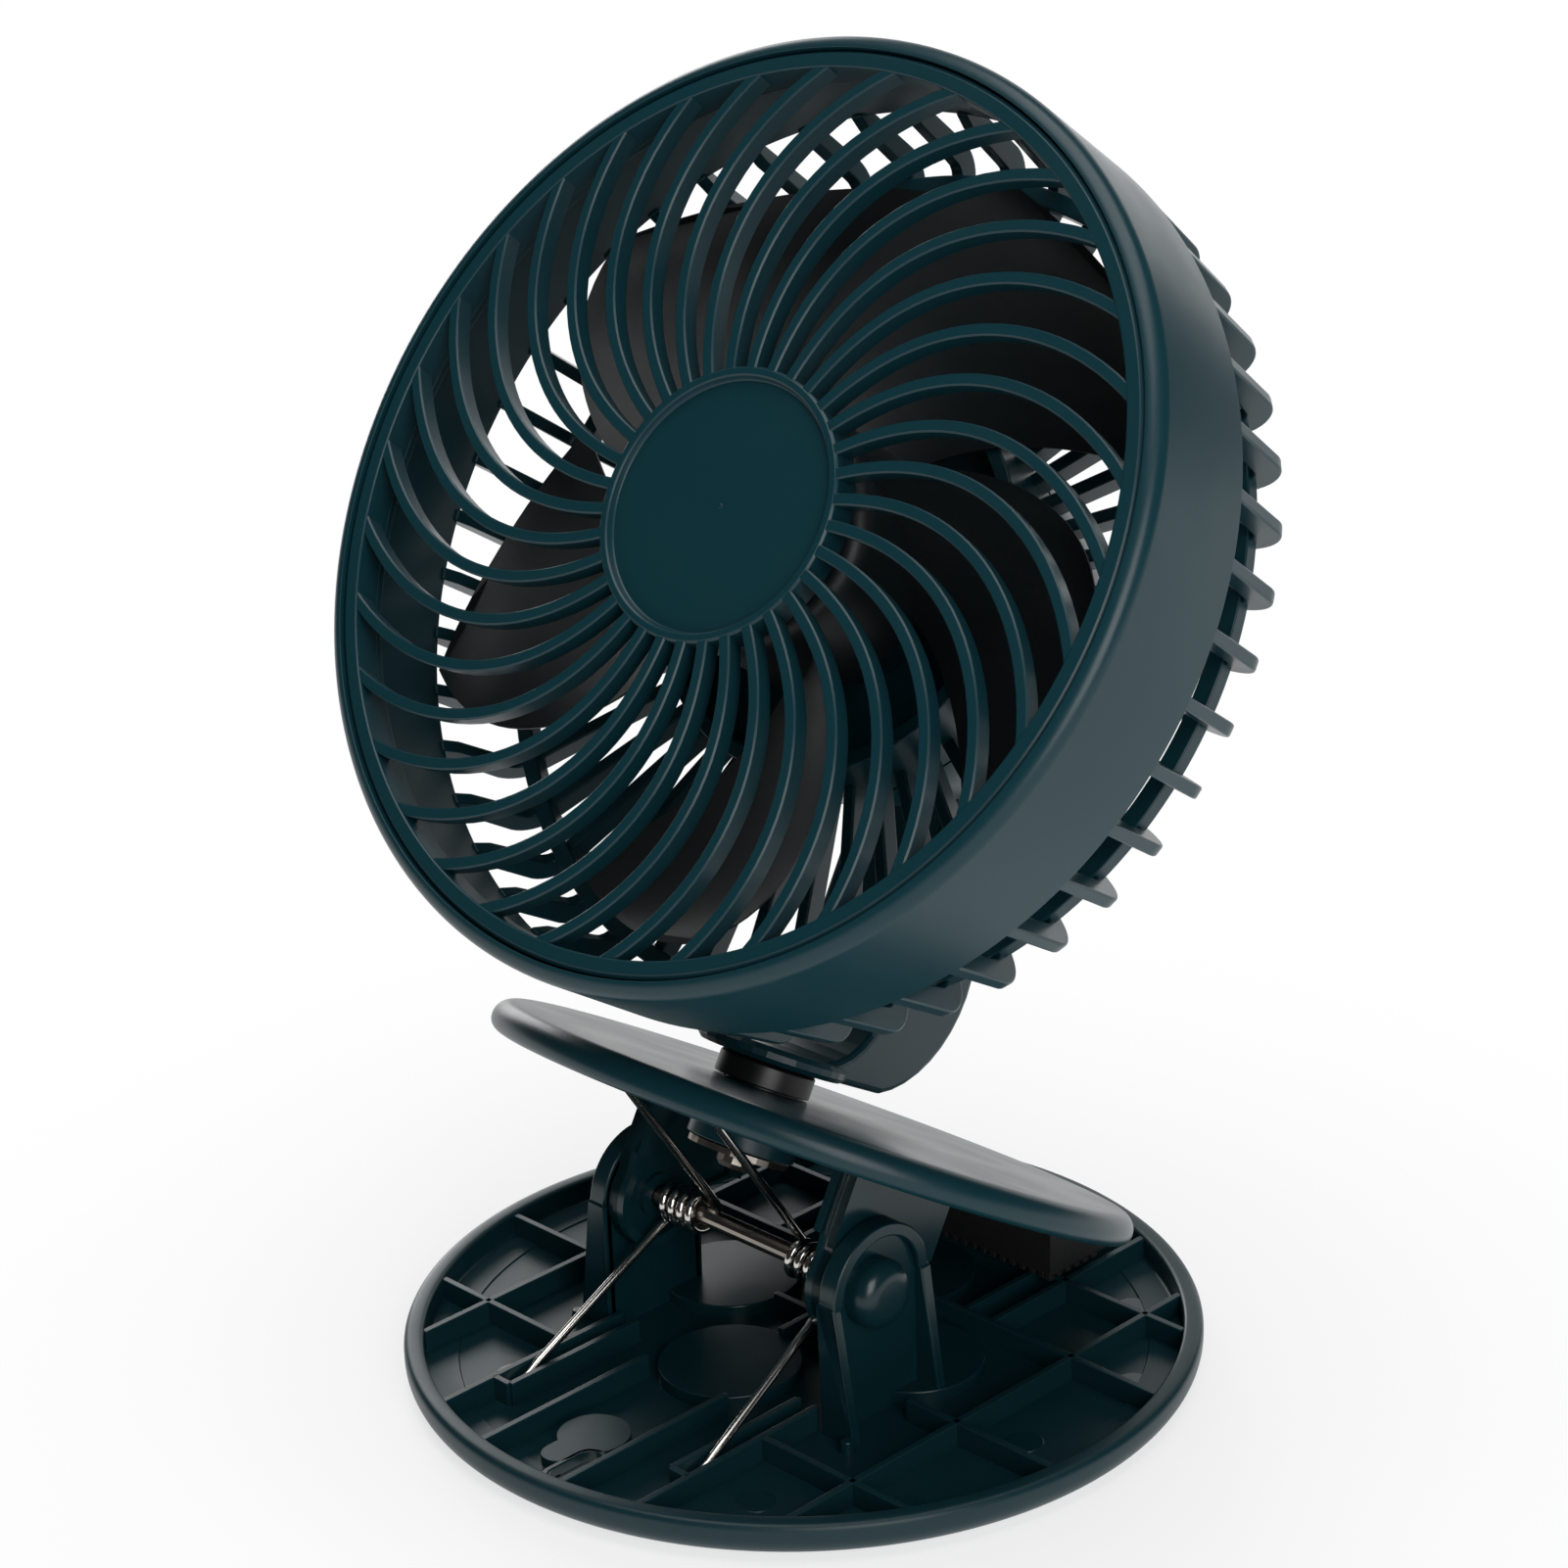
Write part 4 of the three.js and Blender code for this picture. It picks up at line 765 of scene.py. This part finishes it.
piece("housing_lug", [lug], TEAL_SATIN, "head", HEAD, bevel=0.5, segments=3,
      cuts=[shift(cylinder(2.2, -9, 9, 32, "x"), 0, LUG_DEPTH)])
print("screw wells:", len(wells))

# %% [markdown]
# ## 14. The pieces that keep their shape
#
# The other pieces are right as they are. They get their material and softly rounded edges.
# The rubber pad also gets a row of small teeth along its lower edges.

# %%
KEPT = {
    BLACK: ["speed_button"],
    RUBBER: ["jaw_pad", "foot_pad_1", "foot_pad_2", "foot_pad_3", "foot_pad_4"],
    NICKEL: ["motor_shaft", "usb_port"],
    STEEL: ["pivot_pin", "swivel_washer", "swivel_screw", "arm_screw_1", "arm_screw_2",
            "tilt_pin", "tilt_washer_left", "tilt_washer_right", "motor",
            "rear_cover_screw_1", "rear_cover_screw_2", "rear_cover_screw_3",
            "rear_cover_screw_4"],
    TEAL_SATIN: ["arm_shell", "arm_cover"],
    LIGHT: ["led_light_pipe"],
    BOARD: ["circuit_board"],
    SLEEVE: ["battery_pack"],
}
KEPT_BEVEL, ARM_BEVEL, KEPT_ANGLE = 0.15, 0.4, 32
for mat, names in KEPT.items():
    for name in names:
        obj = nodes[name]
        obj.data.materials.clear()
        obj.data.materials.append(mat)
        width = ARM_BEVEL if name == "arm_shell" else KEPT_BEVEL
        soft_edges(obj, width, angle=KEPT_ANGLE)
print("kept pieces:", sum(len(names) for names in KEPT.values()))

TOOTH, TOOTH_PITCH, TEETH_Y, TEETH_LOW, TEETH_HIGH = 1.2, 2.2, 34.6, 5.8, 7
teeth_x = [(k * TOOTH_PITCH - TOOTH / 2, TEETH_Y) for k in range(-10, 11)]
teeth_y = [(x, TEETH_Y + k * TOOTH_PITCH) for x in (-24, 24 - TOOTH) for k in range(6)]
teeth = [block(x, x + TOOTH, y, y + TOOTH, TEETH_LOW, TEETH_HIGH) for x, y in teeth_x + teeth_y]
piece("pad_teeth", teeth, RUBBER, "lever", bevel=0.15)

# %% [markdown]
# ## 15. The floor, the light and the camera
#
# The floor takes the fan's shadow near it and glows as white as the surround farther out.
# Four large soft lamps stand at the front right, at the left, above and behind. The world
# is white to the camera alone and nearly black to the fan, so little but the lamps and the
# floor shows in its surfaces.

# %%
FLOOR_HALF, FLOOR_WHITE = 4, (0.95, 0.95, 0.95, 1)
FADE_FROM, FADE_TO, FADE_LEAST = 0.05, 0.20, 0.7
WORLD_TO_FAN, WORLD_TO_CAMERA = 0.03, 1.0
CAMERA_AT = (0.3805, -0.3750, 0.3020)
AZIMUTH, ELEVATION, ROLL, LENS = 45.46, 20.79, -1.80, 83.76


def floor_material():
    mat = bpy.data.materials.new("studio_floor")
    mat.use_nodes = True
    tree = mat.node_tree
    shader = tree.nodes["Principled BSDF"]
    shader.inputs["Base Color"].default_value = FLOOR_WHITE
    shader.inputs["Roughness"].default_value = 0.6
    shader.inputs["Specular IOR Level"].default_value = 0.2
    glow = tree.nodes.new("ShaderNodeEmission")
    place = tree.nodes.new("ShaderNodeTexCoord")
    reach = tree.nodes.new("ShaderNodeVectorMath")
    reach.operation = "LENGTH"
    tree.links.new(place.outputs["Object"], reach.inputs[0])
    fade = tree.nodes.new("ShaderNodeMapRange")
    fade.interpolation_type = "SMOOTHSTEP"
    fade.inputs["From Min"].default_value = FADE_FROM
    fade.inputs["From Max"].default_value = FADE_TO
    fade.inputs["To Min"].default_value = FADE_LEAST
    tree.links.new(reach.outputs["Value"], fade.inputs["Value"])
    blend = tree.nodes.new("ShaderNodeMixShader")
    tree.links.new(fade.outputs["Result"], blend.inputs["Fac"])
    tree.links.new(shader.outputs["BSDF"], blend.inputs[1])
    tree.links.new(glow.outputs["Emission"], blend.inputs[2])
    tree.links.new(blend.outputs["Shader"], tree.nodes["Material Output"].inputs["Surface"])
    return mat


ground_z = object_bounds()[0].z
ground_mesh = bpy.data.meshes.new("floor")
ground_mesh.from_pydata([(x * FLOOR_HALF, y * FLOOR_HALF, ground_z)
                         for x, y in ((-1, -1), (1, -1), (1, 1), (-1, 1))],
                        [], [(0, 1, 2, 3)])
ground = bpy.data.objects.new("floor", ground_mesh)
bpy.context.scene.collection.objects.link(ground)
ground.data.materials.append(floor_material())

world = bpy.data.worlds.new("studio")
bpy.context.scene.world = world
world.use_nodes = True
tree = world.node_tree
background = tree.nodes["Background"]
ray = tree.nodes.new("ShaderNodeLightPath")
mix = tree.nodes.new("ShaderNodeMix")
mix.inputs["A"].default_value = WORLD_TO_FAN
mix.inputs["B"].default_value = WORLD_TO_CAMERA
tree.links.new(ray.outputs["Is Camera Ray"], mix.inputs["Factor"])
tree.links.new(mix.outputs["Result"], background.inputs["Strength"])
background.inputs["Color"].default_value = (1, 1, 1, 1)


def lamp(name, place, aim, size, power):
    data = bpy.data.lights.new(name, "AREA")
    data.shape = "RECTANGLE"
    data.size, data.size_y = size
    data.energy = power
    obj = bpy.data.objects.new(name, data)
    bpy.context.scene.collection.objects.link(obj)
    obj.location = place
    obj.rotation_euler = (Vector(aim) - Vector(place)).to_track_quat("-Z", "Y").to_euler()


centre = (0, 0, 0.09)
lamp("key", (0.95, -0.50, 0.55), centre, (0.6, 0.8), 7.0)
lamp("side", (-1.0, 0.45, 0.40), centre, (0.5, 0.9), 4.0)
lamp("top", (0.0, 0.0, 1.2), centre, (1.0, 1.0), 9.0)
lamp("back", (-0.7, 0.9, 0.40), centre, (1.6, 0.8), 4.0)

azimuth, elevation, roll = rad(AZIMUTH), rad(ELEVATION), rad(ROLL)
back_way = Vector((math.sin(azimuth) * math.cos(elevation),
                   -math.cos(azimuth) * math.cos(elevation), math.sin(elevation)))
across = (-back_way).cross(Vector((0, 0, 1))).normalized()
up = across.cross(-back_way)
side_way = across * math.cos(roll) + up * math.sin(roll)
up_way = up * math.cos(roll) - across * math.sin(roll)
camera_data = bpy.data.cameras.new("camera")
camera_data.lens = LENS
camera_data.sensor_width = 36
camera_data.clip_start = 0.01
camera = bpy.data.objects.new("camera", camera_data)
bpy.context.scene.collection.objects.link(camera)
turn = Matrix((side_way, up_way, back_way)).transposed()
camera.matrix_world = Matrix.Translation(CAMERA_AT) @ turn.to_4x4()
bpy.context.scene.camera = camera
bpy.context.scene.view_settings.view_transform = "Standard"
print("camera at", [round(v, 3) for v in camera.matrix_world.translation])
